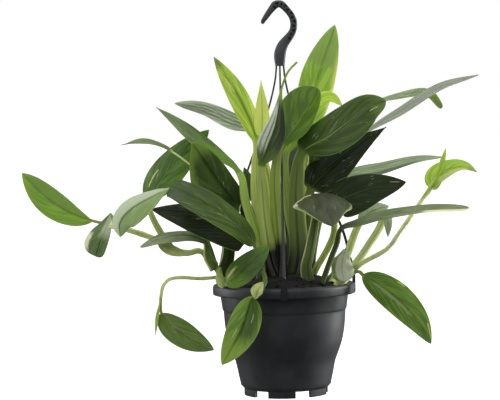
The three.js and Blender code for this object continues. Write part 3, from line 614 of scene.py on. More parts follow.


# The plant, stem by stem. Every value that a leaf doesn't give is the usual one.

# the back leaves' near-black stalks are painted shade in the gaps between the front stalks
backLeaf = dict(reference=(0, 0, 1), stalkColour=(40, 56, 22), stalkEdge=(56, 72, 32), rootShade=2)
plants = [
    dict(name="LeftRim", node="leafy_stem_left_rim", slot="leaf_mid", spot=(-51, -23), shoots=[
        ([(222, 279, -33), (219, 270, -35)], 4),
        ([(219, 272, -35), (210, 261, -38), (200, 251, -42), (187, 253, -46), (171, 248, -49),
          (156, 239.5, -48), (127, 229.5, -44), (110, 225.5, -41)], 3.3),
        ([(220, 277, -36), (200, 278.5, -42), (180, 277.5, -50), (169, 279.5, -52), (163, 286, -53),
          (160.5, 299, -53)], 2)], leaves=[
        dict(name="FarLeft", look="mid", start=(114, 226.5, -41), stalk=[(102, 223, -38)],
             blade=[(93, 221, -36), (72, 214, -30), (46, 198, -20), (22, 173, -12)], half=15.5,
             sides=(1.04, 0.92), turn=12, rise=0.7, riseOther=1, neck=1.5, stalkHalf=2, deep=(110, 154, 31),
             light=(139, 182, 43), zones=[zone((0.02, 1.1), (0, 1.1), (113, 146, 53), 0.2, 0.7)]),
        dict(name="Hanging", look="mid", start=(114, 226.5, -41), stalk=[(113, 220, -40)],
             blade=[(111, 214, -38), (107, 228, -42), (101, 243, -45), (97, 257, -42)], half=19,
             sides=(0.4, 0.92), turn=8, fold=6, rise=0.9, fall=0.32, neck=1.4, stalkHalf=2, deep=(84, 112, 52),
             light=(116, 140, 84), rib=0.5, ribColour=(196, 208, 168),
             zones=[zone((-0.1, 0.5), (-1.1, 0.35), (192, 204, 168), 0.16),
                    zone((0.55, 0.9), (0.72, 1.1), cream, 0.08)]),
        dict(name="TallLeft", look="mid", start=(171, 248, -49), stalk=[(162, 235, -50), (150, 211, -46)],
             blade=[(150, 203, -42), (160, 182, -18), (180, 158, 4), (209, 130, 28)], half=18, turn=-12,
             neck=2.8, stalkHalf=4, stalkColour=(190, 206, 116), rootShade=0.2,
             zones=[zone((0.16, 0.36), (-0.58, -0.5), (200, 216, 150), 0.02)]),
        dict(name="Curved", start=(214, 267, -37), stalk=[(207, 256, -44)], blade=[(205, 242, -50),
             (190, 236, -54), (165, 238, -60), (140, 247, -62)], half=8.5, turn=50, fold=6, rise=0.35, fall=0.5,
             neck=3.2, stalkHalf=7.4, deep=(132, 148, 102), light=(182, 194, 156), stalkColour=(132, 160, 70),
             stalkEdge=(232, 240, 178), stalkWing=0.9, rootShade=0.1),
        # Drooping: the pale grey half (its first zone) is a painted reflection of the overhead light; the second
        # zone is its rib
        dict(name="Drooping", look="mid", start=(217, 268, -35), stalk=[(207, 240, -38), (190, 213, -42),
             (178, 198, -52)], blade=[(170, 190, -62), (148, 199, -72), (129, 211, -76), (120, 223, -74),
             (120, 237, -70)], half=16, sides=(1.05, 0.72), turn=28, tipTurn=5, curl=-26, rise=1.15,
             riseOther=1, fall=0.75, stalkHalf=3, deep=(148, 174, 108), light=(172, 194, 132), rib=0.1,
             vein=0.35, zones=[zone((-0.1, 1.1), (0.03, 1.1), (214, 226, 196), 0.06, 0.8),
                    zone((0.1, 0.9), (-0.06, 0.03), (101, 125, 67), 0.05, 0.8)]),
        dict(name="WingSheath", look="lime", start=(150, 236.5, -48), stalk=[(154, 238, -50)],
             blade=[(158, 241, -52), (169, 249, -54), (188, 255, -52)], half=6.5, turn=-25, wave=0.2, neck=1.6,
             stalkHalf=2.4, deep=(206, 222, 130), light=(228, 236, 170)),
        dict(name="RimSheath", look="lime", start=(219, 268, -36), stalk=[(218.5, 271, -41)],
             blade=[(218.5, 273, -43), (220, 280, -46), (222.5, 288, -48)], half=5.5, fold=-10, curl=-40,
             rise=0.4, fall=0.5, wave=0.2, neck=2.4, stalkHalf=3, deep=(172, 188, 112), light=(200, 212, 148)),
        dict(name="Broad", start=(222, 276, -33), stalk=[(228, 258, -32), (229, 240, -30), (231, 220, -20)],
             blade=[(236, 207, -12), (219, 184, -22), (205, 163, -36), (192, 143, -49)], half=25,
             sides=(1.12, 0.68), turn=4, riseOther=0.3, fall=0.95, fallOther=0.46, neck=4.8, stalkHalf=7.6,
             shine=0.12, deep=(58, 80, 32), light=(90, 116, 50), rib=0.1, stalkColour=(70, 92, 38),
             stalkEdge=(226, 236, 176), stalkWing=0.9, rootShade=0.3,
             zones=[zone((-0.1, 0.3), whole, (34, 46, 24), 0.18, 0.6),
                    zone((0.35, 1.1), (-1.1, -0.7), (116, 146, 60), 0.16),
                    zone((0.3, 0.8), (-0.3, 0.1), (80, 106, 46), 0.2, 0.8),
                    zone((0.8, 1.1), whole, (120, 150, 64), 0.1)]),
        dict(name="LowFront", look="mid", start=(222, 278, -35), stalk=[(223.5, 283, -45)],
             blade=[(227, 284, -52), (243, 270, -66), (270, 245, -66)], half=13.5, turn=-6, stalkHalf=2.6,
             deep=(78, 116, 28), light=(116, 154, 48), rib=0.15,
             zones=[zone((0.34, 0.8), whole, (46, 72, 20), 0.16, 0.65),
                    zone((-0.1, 0.2), whole, (118, 152, 50), 0.12, 0.7),
                    zone((0.1, 0.34), (-0.64, -0.46), (235, 236, 154), 0.07, 0.75)]),
        dict(name="RunnerEnd", look="mid", start=(160.8, 296, -53), stalk=[(160.6, 306, -53)],
             blade=[(161.5, 313, -53), (169, 324, -54), (187, 337, -54), (214, 350, -52)], half=14.5, turn=4,
             neck=1.4, stalkHalf=1.7, deep=(90, 118, 42), light=(114, 142, 60), vein=0.08),
        dict(name="RunnerBud", look="lime", start=(161, 294, -53), stalk=[(160.3, 300, -54)],
             blade=[(159.5, 305, -55), (157, 318, -57), (155.5, 335, -57)], half=1.9, wave=0.1, neck=1.1,
             stalkHalf=1.7, deep=(150, 184, 66), light=(190, 212, 110))]),
    dict(name="FrontLeft", node="leafy_stem_front_left", slot="leaf_dark", spot=(-26, -44), shoots=[
        ([(263, 272, -66), (265, 282, -80), (261, 290, -87), (258, 294, -88)], 2.6)], leaves=[
        dict(name="Long", stalk=[(263, 268, -52), (258, 256, -58)], blade=[(254, 245, -62), (240, 228, -76),
             (214, 209, -88), (190, 196, -90), (176, 189, -82), (169, 189, -72)], half=17.5, turn=40, rise=0.42,
             fall=0.3, stalkHalf=3, shine=0.2, fleck=0.8, deep=(62, 84, 34), light=(98, 122, 52),
             zones=[zone((0.62, 1.1), whole, (54, 74, 30), 0.2, 0.6)]),
        # Shaded: its near-black colours are painted shade, for the shadow the leaf lies in
        dict(name="Shaded", stalk=[(263, 266, -50), (256, 250, -46)], blade=[(250, 238, -42), (222, 223, -54),
             (187, 214, -63), (151, 209, -66)], half=17, sides=(1.75, 1), turn=42, curl=-20, rise=0.3,
             riseOther=0.5, stalkHalf=3, shine=0.12, deep=(26, 36, 18), light=(40, 54, 26)),
        dict(name="OverPot", look="mid", start=(260, 291, -87), stalk=[(256.5, 294, -88)],
             blade=[(253, 297, -88), (243, 328, -86), (222, 365, -80)], half=17, turn=-8, fold=10,
             stalkHalf=2.4, deep=(94, 132, 36), light=(138, 176, 58),
             zones=[zone((-0.1, 0.6), (-0.75, 0.12), (52, 76, 24), 0.16, 0.75),
                    zone((0.62, 1.1), whole, (150, 184, 62), 0.16, 0.7),
                    zone((0.46, 0.58), (0.33, 0.39), (206, 220, 150), 0.02, 0.6),
                    zone((0.66, 0.86), (0.07, 0.12), (206, 220, 150), 0.02, 0.6),
                    zone((0.22, 0.32), (-0.42, -0.37), (206, 220, 150), 0.02, 0.6)]),
        dict(name="Bract", look="lime", start=(259, 294, -87), stalk=[(257, 297, -89)], blade=[(256, 298, -91),
             (257, 291, -94), (263, 282, -91)], half=8.5, fold=-12, curl=-50, wave=0.3, neck=1.6, stalkHalf=2.4,
             deep=(160, 176, 100), light=(190, 200, 134))]),
    dict(name="LeftCentre", node="leafy_stem_left_centre", slot="leaf_mid", spot=(-25, -16), leaves=[
        dict(name="Slanting", look="mid", stalk=[(265, 258, -19), (253.5, 226, -26), (245.5, 201, -30)],
             blade=[(240, 175, -26), (221, 157, -12), (195, 137, -2), (156, 107, -1)], half=14.6, turn=60,
             rise=0.85, fall=0.95, neck=5, stalkHalf=8.8, deep=(78, 104, 44), light=(118, 138, 84), rib=0.15,
             vein=0.6, veinColour=(70, 92, 40), stalkColour=(150, 178, 78),
             zones=[zone((0, 0.5), whole, (102, 146, 42), 0.16, 0.9, -0.3)]),
        # a near-black leaf put behind the stalks where there is only shade: its colours are painted shade
        dict(name="Dim", stalk=[(263, 264, -10), (258, 250, -8)], blade=[(254, 240, -8), (249, 220, -6),
             (243, 196, -4)], half=8, rise=0.4, fall=0.5, stalkHalf=3, shine=0.12, deep=(24, 34, 16),
             light=(36, 50, 22), fleck=0, rootShade=2),
        dict(name="Thin", look="mid", stalk=[(262, 255, -8), (246, 225, 0), (216, 186, 0), (188, 163, -14)],
             blade=[(172, 152, -16), (150, 141.5, -14), (121, 145, -8)], half=10, turn=76, neck=1.3,
             stalkHalf=3, deep=(96, 122, 56), light=(140, 160, 96), stalkColour=(211, 228, 144),
             stalkEdge=cream)]),
    dict(name="CentreLeft", node="leafy_stem_centre_left", slot="leaf_lime", spot=(-14, 8), leaves=[
        dict(name="YoungTall", look="lime", stalk=[(268, 262, 4), (263.5, 235, 2), (257, 200, -2),
             (256, 165, -4)], blade=[(256.5, 143, -5), (242, 104, -8), (214, 57, -4)], half=11.4, turn=10,
             rise=0.6, neck=4.2, stalkHalf=9.4, vein=0.04, deep=(160, 198, 50), light=(220, 240, 104), rib=0.1,
             splash=0.7, rootShade=2.6, zones=[zone((0.15, 0.6), (-0.1, 0.3), (120, 160, 34), 0.14, 0.7),
                    zone((0.88, 1.1), whole, (104, 136, 50), 0.06, 0.8),
                    zone((0.62, 0.76), (-0.36, -0.3), (236, 244, 190), 0.02, 0.8)]),
        dict(name="GreyBack", look="grey", stalk=[(270, 262, 8), (268, 220, 14), (262, 170, 16)],
             blade=[(255, 131, 16), (232, 120, 24), (206, 109, 32), (175, 103, 40)], half=17, sides=(0.8, 1),
             turn=128, stalkHalf=4.5, deep=(228, 236, 208), light=(242, 245, 228), vein=0.5, veinCount=5,
             rootShade=2.6, underColour=(206, 222, 184),
             zones=[zone((0.05, 0.8), (-0.5, -0.36), (84, 112, 62), 0.07, 0.7),
                    zone((0.05, 0.7), (0.34, 0.5), (84, 112, 62), 0.07, 0.7),
                    zone((0.02, 0.5), (-1.1, -0.7), (120, 150, 84), 0.1, 0.7)]),
        dict(name="Small", stalk=[(268, 255, 4), (262, 225, 0)], blade=[(255, 201, -2), (250, 185, -2),
             (244, 167, 0)], half=7.6, turn=10, rise=0.35, stalkHalf=3.5),
        dict(name="YoungSmall", look="lime", stalk=[(272, 262, 2), (271, 215, -6), (269, 182, -8),
             (264, 158, -9)], blade=[(262, 137, -9), (262, 112, -10), (261, 80, -9)], half=8.6, rise=0.42,
             fall=1.15, neck=3.4, stalkHalf=7, deep=(222, 240, 108), light=(236, 238, 136), vein=0.02, rib=0.02,
             splash=0.5, rootShade=2.6)]),
    dict(name="Centre", node="leafy_stem_centre", slot="leaf_dark", spot=(-6, -20), leaves=[
        # Folded: the pale grey patch on its left half is painted sheen, and the near-black patch on its right half
        # is painted shade
        dict(name="Folded", stalk=[(272, 262, -22), (267, 236, -30), (263.5, 208, -34), (262, 186, -36)],
             blade=[(261, 167, -40), (267.5, 149, -46), (275.5, 126, -48), (279, 106, -46), (282, 87, -38),
             (288, 72, -34), (297, 62, -30)], half=13.5, sides=(1, 1.05), fold=22, curl=-10, rise=1.3, fall=4.1,
             neck=4.4, stalkHalf=9.2, tipHalf=1.2, deep=(46, 66, 24), light=(80, 104, 44), rib=0.1, under=1,
             underColour=(190, 200, 170), vein=0.1, veinCount=5, rootShade=2.4, stalkColour=(158, 178, 88),
             stalkEdge=(198, 212, 130), zones=[zone((0.14, 0.58), (-1.1, -0.12), (208, 216, 194), 0.08),
                    zone((-0.1, 0.16), whole, (92, 118, 50), 0.07, 0.8),
                    zone((0.1, 0.5), (-0.84, -0.72), (78, 98, 58), 0.05, 0.6),
                    zone((0.06, 0.46), (-0.42, -0.3), (70, 90, 48), 0.05, 0.8),
                    zone((0.25, 0.6), (0.45, 1.1), (22, 30, 18), 0.1, 0.9),
                    zone((0.6, 1.1), whole, (140, 164, 66), 0.06)]),
        dict(name="Round", look="mid", stalk=[(280.5, 255, -24), (278, 220, -35), (275.5, 185, -41),
             (277, 160, -41)], blade=[(282, 146, -36), (299, 121, -31), (318, 88.5, -32)], half=25,
             sides=(1.16, 0.84), turn=-34, fold=20, curl=-6, rise=0.5, fall=0.5, neck=4.8, stalkHalf=9,
             deep=(72, 104, 20), light=(104, 142, 32), rib=0.3, vein=0.06, rootShade=2.4)]),
    dict(name="CentreBack", node="leafy_stem_centre_back", slot="leaf_lime", spot=(12, 16), leaves=[
        dict(name="YoungTop", look="lime", stalk=[(297, 250, 18), (302, 200, 20), (306, 160, 21)],
             blade=[(309, 128, 20), (317, 82, 22), (335, 25, 30)], half=19.5, turn=6, rise=0.5, fall=0.75,
             neck=4.8, stalkHalf=7.5, deep=(136, 178, 52), light=(172, 212, 80), vein=0.05, rib=0.08,
             rootShade=2.4, zones=[zone((0.6, 1.2), whole, (140, 174, 80), 0.05, 0.8),
                    zone((0.1, 0.72), (0.82, 1.1), (226, 232, 104), 0.14, 0.8)]),
        dict(name="Bowed", look="grey", stalk=[(299, 250, 20), (312, 180, 28), (338, 125, 36)],
             blade=[(366, 106, 46), (398, 96, 52), (428, 93, 54), (442, 108, 52)], half=4.8, turn=-64,
             tipTurn=10, fall=0.28, wave=0.2, stalkHalf=3.4, vein=0.03, stalkColour=(74, 96, 40),
             stalkEdge=(96, 116, 54), rib=0.1, fleck=0,
             zones=[zone((0.72, 1.1), whole, (125, 154, 62), 0.08)])]),
    dict(name="CentreRight", node="leafy_stem_centre_right", slot="leaf_mid", spot=(12, -12), leaves=[
        dict(name="Large", stalk=[(299, 255, -14), (297, 215, -20), (297, 180, -28)], blade=[(303, 152.5, -35),
             (329, 136, -40), (347, 122, -42), (367, 106, -40), (386, 101, -34)], half=22, sides=(0.92, 1.06),
             turn=-10, fold=10, rise=0.3, riseOther=0.62, fall=0.6, neck=6.4, stalkHalf=12, deep=(52, 74, 16),
             light=(80, 108, 24), rib=0.95, stalkWing=0.5, stalkEdge=(176, 190, 116), fleck=0.8,
             zones=[zone((0.84, 1.1), whole, (104, 130, 58), 0.08, 0.6),
                    zone((0.79, 0.9), (0.32, 0.37), cream, 0.012, 0.55),
                    zone((0.5, 1.1), (-0.2, 0.2), (72, 101, 34), 0.14, 0.6)]),
        dict(name="Rolled", look="lime", stalk=[(296, 250, -12), (289, 215, -16), (285.5, 178, -18)],
             blade=[(286, 154, -17), (300, 125, -15), (318, 102, -15), (330, 97, -15), (342, 105, -20)],
             half=13, turn=-30, neck=4.2, stalkHalf=6, stalkColour=(150, 172, 80), rootShade=2.6),
        dict(name="Scrap", look="grey", stalk=[(306, 240, -4), (311, 205, -6)], blade=[(313, 180, -8),
             (315, 166, -8), (312, 151, -9)], half=6.5, rise=0.4, fall=0.5, neck=2, stalkHalf=3,
             deep=(70, 90, 44), light=(150, 166, 118), fleck=1, rootShade=1.5),
        # Under: its near-black colours are painted shade, for the shadow the leaf lies in behind Large
        dict(name="Under", stalk=[(304, 250, -10), (308, 216, -13)], blade=[(311, 190, -14), (345, 156, -12),
             (386, 127, -6)], half=21, turn=-20, rise=0.4, riseOther=0.35, fall=1.15, neck=5, stalkHalf=8.5,
             shine=0.12, deep=(26, 36, 17), light=(38, 53, 22), rib=0.1, fleck=0.7, vein=0.05)]),
    dict(name="Right", node="leafy_stem_right", slot="leaf_dark", spot=(31, 4), leaves=[
        dict(name="Level", stalk=[(317.5, 266, -8), (322.5, 258, -11), (329, 246, -14), (333.5, 235, -18),
             (334.5, 221, -22)], blade=[(332, 207, -24), (364, 190, -30), (406, 182, -30)], half=21,
             sides=(1, 1.14), turn=-24, rise=0.28, neck=3.6, stalkHalf=3.7, shine=0.12, deep=(27, 38, 16),
             light=(40, 58, 22), rib=0.12, fleck=1, vein=0.05, stalkColour=(196, 214, 118),
             stalkEdge=(214, 226, 150), rootShade=0.1,
             zones=[zone((0.82, 0.91), (-0.34, -0.2), (156, 173, 120), 0.02, 0.7)]),
        dict(name="LongGrey", look="grey", stalk=[(315, 250, 12), (325, 208, 24)], blade=[(342, 179, 28),
             (380, 168, 30), (420, 159, 32), (444, 157, 34)], half=15, turn=-66, fall=0.95, stalkHalf=3.6,
             vein=0.5, stalkColour=(112, 138, 60), stalkEdge=(140, 164, 80), veinCount=5,
             veinColour=(66, 84, 48), zones=[zone((0.05, 0.75), (0.55, 1.1), (58, 78, 40), 0.12, 0.85),
                    zone((0.1, 0.8), (-0.4, -0.25), (70, 90, 50), 0.07, 0.6)]),
        dict(name="EdgeOn", look="grey", stalk=[(314, 248, 14), (324, 200, 28), (342, 160, 32)],
             blade=[(366, 133, 30), (400, 112, 26), (440, 87, 22), (478, 75, 22)], half=8, turn=-60,
             tipTurn=-44, curl=-6, wave=0.1, stalkHalf=3.6, tipHalf=1, vein=0.03, stalkColour=(98, 124, 52),
             stalkEdge=(124, 148, 70), under=0, rib=0.1, fleck=0, deep=(138, 146, 126),
             light=(168, 176, 156))]),
    dict(name="RightFront", node="leafy_stem_right_front", slot="leaf_dark", spot=(26, -30), leaves=[
        dict(name="Shelf", stalk=[(306, 268, -30), (309, 254, -32), (312.5, 236, -34), (315, 222, -36)],
             blade=[(319, 199, -40), (321, 193.5, -60), (326, 203, -98), (333, 226, -120)], half=34.5, fold=4,
             curl=-50, fall=0.85, neck=3.6, stalkHalf=7, reference=(0, 0, 1), deep=(62, 70, 48),
             light=(84, 91, 62), rib=0.08, vein=0.1, stalkEdge=(228, 234, 186), stalkWing=0.95, rootShade=0.5,
             zones=[zone((-0.2, 0.35), (0.34, 1.1), (222, 214, 176), 0.03),
                    zone((0.05, 0.5), (0.86, 1.1), cream, 0.03), zone((0.45, 1), (0.92, 1.1), (150, 168, 104), 0.03),
                    zone((0.3, 1), (-1.1, -0.92), (150, 168, 104), 0.03),
                    zone((0.3, 0.7), (-0.3, 0.3), (44, 48, 32), 0.2, 0.7)]),
        dict(name="Long", look="grey", start=(322, 283, -36), stalk=[(326, 272, -37), (331, 258, -40),
             (337, 243, -44)], blade=[(341, 229, -49), (358, 223, -55), (386, 214, -60), (425, 209, -64),
             (469, 208, -66)], half=9.5, turn=-62, rise=0.3, fall=0.32, neck=3.6, stalkHalf=4.4,
             deep=(106, 122, 79), light=(149, 161, 118), rib=0.1, stalkColour=(78, 92, 46),
             stalkEdge=(112, 126, 66), zones=[zone((0.66, 1.1), (0.5, 1.1), (236, 236, 197), 0.06)])]),
    dict(name="RightInner", node="leafy_stem_right_inner", slot="leaf_mid", spot=(45, -4), leaves=[
        dict(name="Pale", look="grey", stalk=[(338, 274, 2), (347, 255, 2)], blade=[(360, 223, 4),
             (373, 211, 6), (389, 206, 8)], half=9, turn=-20, neck=4, stalkHalf=5.4, deep=(206, 216, 176),
             light=(228, 234, 206), stalkColour=(234, 243, 172), stalkEdge=(240, 245, 196), rootShade=0.1),
        dict(name="Crumpled", look="grey", stalk=[(336, 268, -10), (342, 255, -18)], blade=[(345, 250, -22),
             (342, 265, -26), (344, 281, -27)], half=12, turn=8, curl=-20, rise=0.75, fall=0.34, wave=2.2,
             waves=2.6, stalkHalf=3, tipHalf=2, deep=(226, 234, 206), light=(242, 244, 228), vein=0.25, rib=0.3,
             zones=[zone((0, 1), (0.6, 1.1), (150, 174, 104), 0.08)])]),
    dict(name="RightRim", node="leafy_stem_right_rim", slot="leaf_lime", spot=(55, -16), shoots=[
        ([(350, 275, -15), (354, 268, -16)], 4),
        ([(353, 270, -16), (364, 262, -17), (388, 248, -20), (400, 232, -22), (414, 212, -22)], 2.8)], leaves=[
        dict(name="FarRight", look="lime", start=(411, 216, -22), stalk=[(422, 200, -22)],
             blade=[(431, 189, -22), (435, 177, -22), (447, 170, -22), (462, 167, -22), (477, 172, -24)],
             half=12, sides=(1.05, 0.8), turn=-20, curl=-30, rise=0.45, riseOther=0.35, fallOther=1.3,
             stalkHalf=2.6, deep=(139, 182, 43), light=(173, 211, 62), stalkColour=(222, 232, 172),
             stalkEdge=(232, 238, 196), zones=[zone((0.2, 0.9), (0.35, 1.1), (222, 232, 140), 0.12, 0.8),
                    zone((0.86, 1.1), whole, (158, 182, 101), 0.05)]),
        dict(name="Spike", look="lime", start=(422, 200, -22), stalk=[(428, 190, -23)], blade=[(436, 178, -25),
             (441, 166, -28), (446, 148, -28)], half=3.1, wave=0.2, neck=1.3, stalkHalf=2),
        dict(name="Bent", look="grey", stalk=[(360, 258, -12), (370, 243, -10), (379, 229, -8)],
             blade=[(383, 219, -6), (386, 213, -10), (388, 221, -16), (388, 237, -18)], half=5, wave=0.3,
             neck=4.2, stalkHalf=4.4, deep=(176, 188, 148), light=(204, 212, 180), stalkColour=(222, 232, 160),
             stalkEdge=(232, 238, 190), rootShade=0.05),
        # Low: the two pale bands beside its rib are painted highlights; the two thin zones near its edge are cream
        # streaks
        dict(name="Low", look="mid", stalk=[(358, 271, -20)], blade=[(363, 275, -24), (381, 286, -27),
             (400, 301, -30), (418, 321, -30), (431, 344, -28)], half=17, turn=6, stalkHalf=2.8,
             deep=(86, 122, 36), light=(134, 172, 58),
             zones=[zone((0.32, 0.41), (-0.92, -0.84), (206, 216, 112), 0.02),
                    zone((0.8, 0.93), (-0.78, -0.62), (206, 216, 112), 0.02),
                    zone((0.1, 0.62), (0.06, 0.2), (164, 188, 122), 0.05, 0.7),
                    zone((0.24, 0.4), (0.2, 0.28), (150, 172, 116), 0.02, 0.6)])]),
    dict(name="Back", node="leafy_stem_back", slot="leaf_dark", spot=(6, 42), leaves=[
        dict(name="Left", stalk=[(278, 262, 46), (266, 225, 56)], blade=[(246, 204, 70), (230, 194, 105),
             (214, 203, 150)], half=20, turn=30, neck=4, stalkHalf=8, **backLeaf),
        dict(name="Right", look="mid", stalk=[(300, 262, 46), (312, 225, 56)], blade=[(326, 196, 72),
             (342, 182, 108), (352, 190, 150)], half=20, turn=-30, neck=3, stalkHalf=6, **backLeaf),
        dict(name="Upper", stalk=[(286, 250, 50), (290, 200, 62)], blade=[(293, 152, 74), (298, 124, 96),
             (300, 118, 140)], half=18, neck=5.4, stalkHalf=8, **backLeaf)]),
]

soilShape = {"edgeRadius": 68.1, "edgeHeight": 114, "dome": 20}


def soilHeight(x, y):
    share = min(1, math.hypot(x, y) / soilShape["edgeRadius"])
    return soilShape["edgeHeight"] + soilShape["dome"] * (1 - share * share)


# Darker and lighter colour of each stem's skin
stemColours = {
    "usual": ((52, 66, 28), (76, 94, 40)), "LeftRim": ((206, 226, 120), (236, 243, 172)),
    "RightRim": ((226, 238, 150), (242, 245, 196)), "FrontLeft": ((66, 88, 36), (92, 116, 50)),
}
stemShape = {"radius": 4.9, "foot": -20, "crown": -4, "top": 0.5}
# the marks include a dark green that paints shade over the first part of each shoot and stem
stemMarks = {
    "lines": 5, "lineLength": 0.6, "lineEdge": (0.35, 0.65), "stemRootShade": (40, 46, 24), "stemRootShadeSpan": (0, 0.5, 0.75, 0),
    "joint": (92, 84, 48), "jointShare": 0.2, "jointSharpness": 20, "roughness": (0.4, 0.56),
}


def makeStemMaterial(name):
    look = stemMarks
    material, tree, shader = startMaterial("stemSkin" + name)
    stalk, around = readAttribute(tree, "stalk"), readAttribute(tree, "around")
    lines = cloud(times(around, look["lines"]), times(stalk, look["lineLength"]), 4.2, 3)
    colour = blendColour(ramp(lines, *look["lineEdge"]), *stemColours[name])
    # painted shade: each shoot and stem darkens over its first part, near the soil among the stalks
    colour = blendColour(ramp(stalk, *look["stemRootShadeSpan"]), colour, look["stemRootShade"])
    joint = calc("POWER", scaled(calc("COSINE", times(stalk, fullTurn)), 0.5, 0.5), look["jointSharpness"])
    colour = blendColour(times(joint, look["jointShare"]), colour, look["joint"])
    dressShader(shader, colour, ramp(lines, 0.2, 0.8, *look["roughness"]), lines, strength=0.4, depth=0.4)
    return material


stemSkins = {name: makeStemMaterial(name) for name in stemColours}


def makePlant(plant, number):
    x, y = plant["spot"]
    foot, crown, top = (
        abovePotFloor(x, y, soilHeight(x, y) + stemShape[key]) for key in ("foot", "crown", "top"))
    stem = [foot, foot.lerp(top, 0.5), top]
    tubes = [makeShoot("stem" + plant["name"], stem, stemShape["radius"], number)]
    for i, (path, radius) in enumerate(plant.get("shoots", [])):
        points = [fromPicture(p) for p in path]
        if i == 0:
            points.insert(0, crown)
        tubes.append(makeShoot("shoot", points, radius, number + i))
    skin = stemSkins.get(plant["name"], stemSkins["usual"])
    finishPiece(joinPieces(tubes), skin, plant["slot"], plant["node"])
    for i, leaf in enumerate(plant["leaves"]):
        name = "leaf" + plant["name"] + leaf["name"]
        shape, material = makeLeaf(name, crown, leaf, number * 1.7 + i * 0.61)
        finishPiece(shape, material, plant["slot"], plant["node"])


for number, plant in enumerate(plants):
    makePlant(plant, number)
print("leafy stems made")


# Pot, soil and hanger


def atAngle(radius, degrees, z):
    angle = math.radians(degrees)
    return abovePotFloor(radius * math.cos(angle), radius * math.sin(angle), z)


def addTurned(name, profile, sides):
    piece = addShape(
        bpy.ops.mesh.primitive_circle_add, vertices=len(profile), radius=1, fill_type="NOTHING")
    piece.name = piece.data.name = name
    for vertex in piece.data.vertices:
        r, z = cornerOf(vertex, profile)
        vertex.co = abovePotFloor(r, 0, z)
    bpy.ops.object.mode_set(mode="EDIT")
    bpy.ops.mesh.select_all(action="SELECT")
    bpy.ops.mesh.spin(steps=sides, angle=fullTurn, center=(0, 0, 0), axis=(0, 0, 1))
    bpy.ops.mesh.select_all(action="SELECT")
    bpy.ops.mesh.remove_doubles(threshold=1e-5)
    bpy.ops.mesh.dissolve_degenerate(threshold=1e-6)
    bpy.ops.mesh.normals_make_consistent(inside=False)
    bpy.ops.object.mode_set(mode="OBJECT")
    return piece


def applyModifiers(piece):
    bpy.ops.object.select_all(action="DESELECT")
    piece.select_set(True)
    bpy.context.view_layer.objects.active = piece
    for modifier in list(piece.modifiers):
        bpy.ops.object.modifier_apply(modifier=modifier.name)


def cutAway(piece, cutter):
    boolean = piece.modifiers.new("cut", "BOOLEAN")
    boolean.operation = "DIFFERENCE"
    boolean.solver = "EXACT"
    boolean.object = cutter
    applyModifiers(piece)
    bpy.data.objects.remove(cutter)


def softenEdges(piece, width, degrees, smoothDegrees=40):
    bevel = piece.modifiers.new("soft", "BEVEL")
    bevel.width = width * mm
    bevel.segments = 2
    bevel.limit_method = "ANGLE"
    bevel.angle_limit = math.radians(degrees)
    bevel.use_clamp_overlap = True
    applyModifiers(piece)
    bpy.ops.object.shade_smooth_by_angle(angle=math.radians(smoothDegrees))


plasticLooks = {
    "potPlastic": dict(base=(42, 44, 47), dust=(72, 74, 75), rough=0.42, grain=900),
    "hookPlastic": dict(base=(70, 74, 76), dust=(92, 96, 96), rough=0.42, grain=900),
    # the pockets' material is darker than the hook's: painted shade in the hook's shallow hollows
    "pocketShadePlastic": dict(base=(22, 24, 26), dust=(34, 36, 38), rough=0.5, grain=900),
    "hangerPlastic": dict(base=(30, 32, 34), dust=(50, 53, 55), rough=0.4, grain=900),
}

# Dust lies in a haze and in marks dragged along the height
plasticWear = {
    "hazeScale": 26, "hazeEdge": (0.4, 0.75), "hazeShare": 0.5, "hazeRough": 0.14,
    "dragScale": 160, "dragStretch": (1, 1, 0.12), "dragEdge": (0.5, 0.8), "dragShare": 0.18, "dragHeight": 0.6,
}


def makeMouldedPlastic():
    wear = plasticWear
    tree, wire, out = makeGroup("mouldedPlastic", plasticLooks["potPlastic"], skinOutputs)
    place = objectPlace(tree)
    stretch = tree.nodes.new("ShaderNodeMapping")
    plug(stretch.inputs["Vector"], place)
    plug(stretch.inputs["Scale"], wear["dragStretch"])
    grain, haze = cloudAt(place, wire["grain"], 3), cloudAt(place, wear["hazeScale"], 4)
    drag = cloudAt(stretch.outputs[0], wear["dragScale"])
    hazy = times(ramp(haze, *wear["hazeEdge"]), wear["hazeShare"])
    dusty = scaled(ramp(drag, *wear["dragEdge"]), wear["dragShare"], hazy)
    plug(out["Color"], blendColour(dusty, wire["base"], wire["dust"]))
    plug(out["Roughness"], scaled(haze, wear["hazeRough"], wire["rough"]))
    plug(out["Height"], scaled(drag, wear["dragHeight"], grain))
    return tree


mouldedPlastic = makeMouldedPlastic()


def makePlasticMaterial(name, strength):
    material, tree, shader = startMaterial(name)
    skin = useGroup(tree, mouldedPlastic, plasticLooks[name])
    dressShader(shader, skin["Color"], skin["Roughness"], skin["Height"], strength, depth=0.2)
    return material


# Profiles are pairs of radius and height
potShape = {
    "sides": 144, "wall": 1.6, "edgeRound": 0.35, "smoothDegrees": 32, "base": (7.5, 9.5),
    "footRadius": 45.9, "footWall": 4.4, "footHeight": 7.5,
    "notches": 6, "notchDegrees": 22, "firstNotch": -67, "notchDepth": 14.4,
    "drainHoles": 6, "drainRadius": 4, "drainRing": 30, "drainHeight": 8.5, "drainDepth": 8,
    "waist": [(49.2, 10.7), (52, 24), (54.8, 37), (58.2, 46), (62.3, 58), (64.8, 71), (65.9, 81), (66.6, 92)],
    "shoulder": [(67.4, 93), (67.9, 94.5)],
    "rim": [(70, 110), (70.3, 119.4), (76.4, 119.4), (76.4, 110.3), (77.1, 110), (77.7, 110.6), (78, 111.6),
            (78, 117.6), (77.7, 119), (77, 120.1), (75.9, 120.8), (74.6, 121), (70, 121), (68.4, 110)],
}


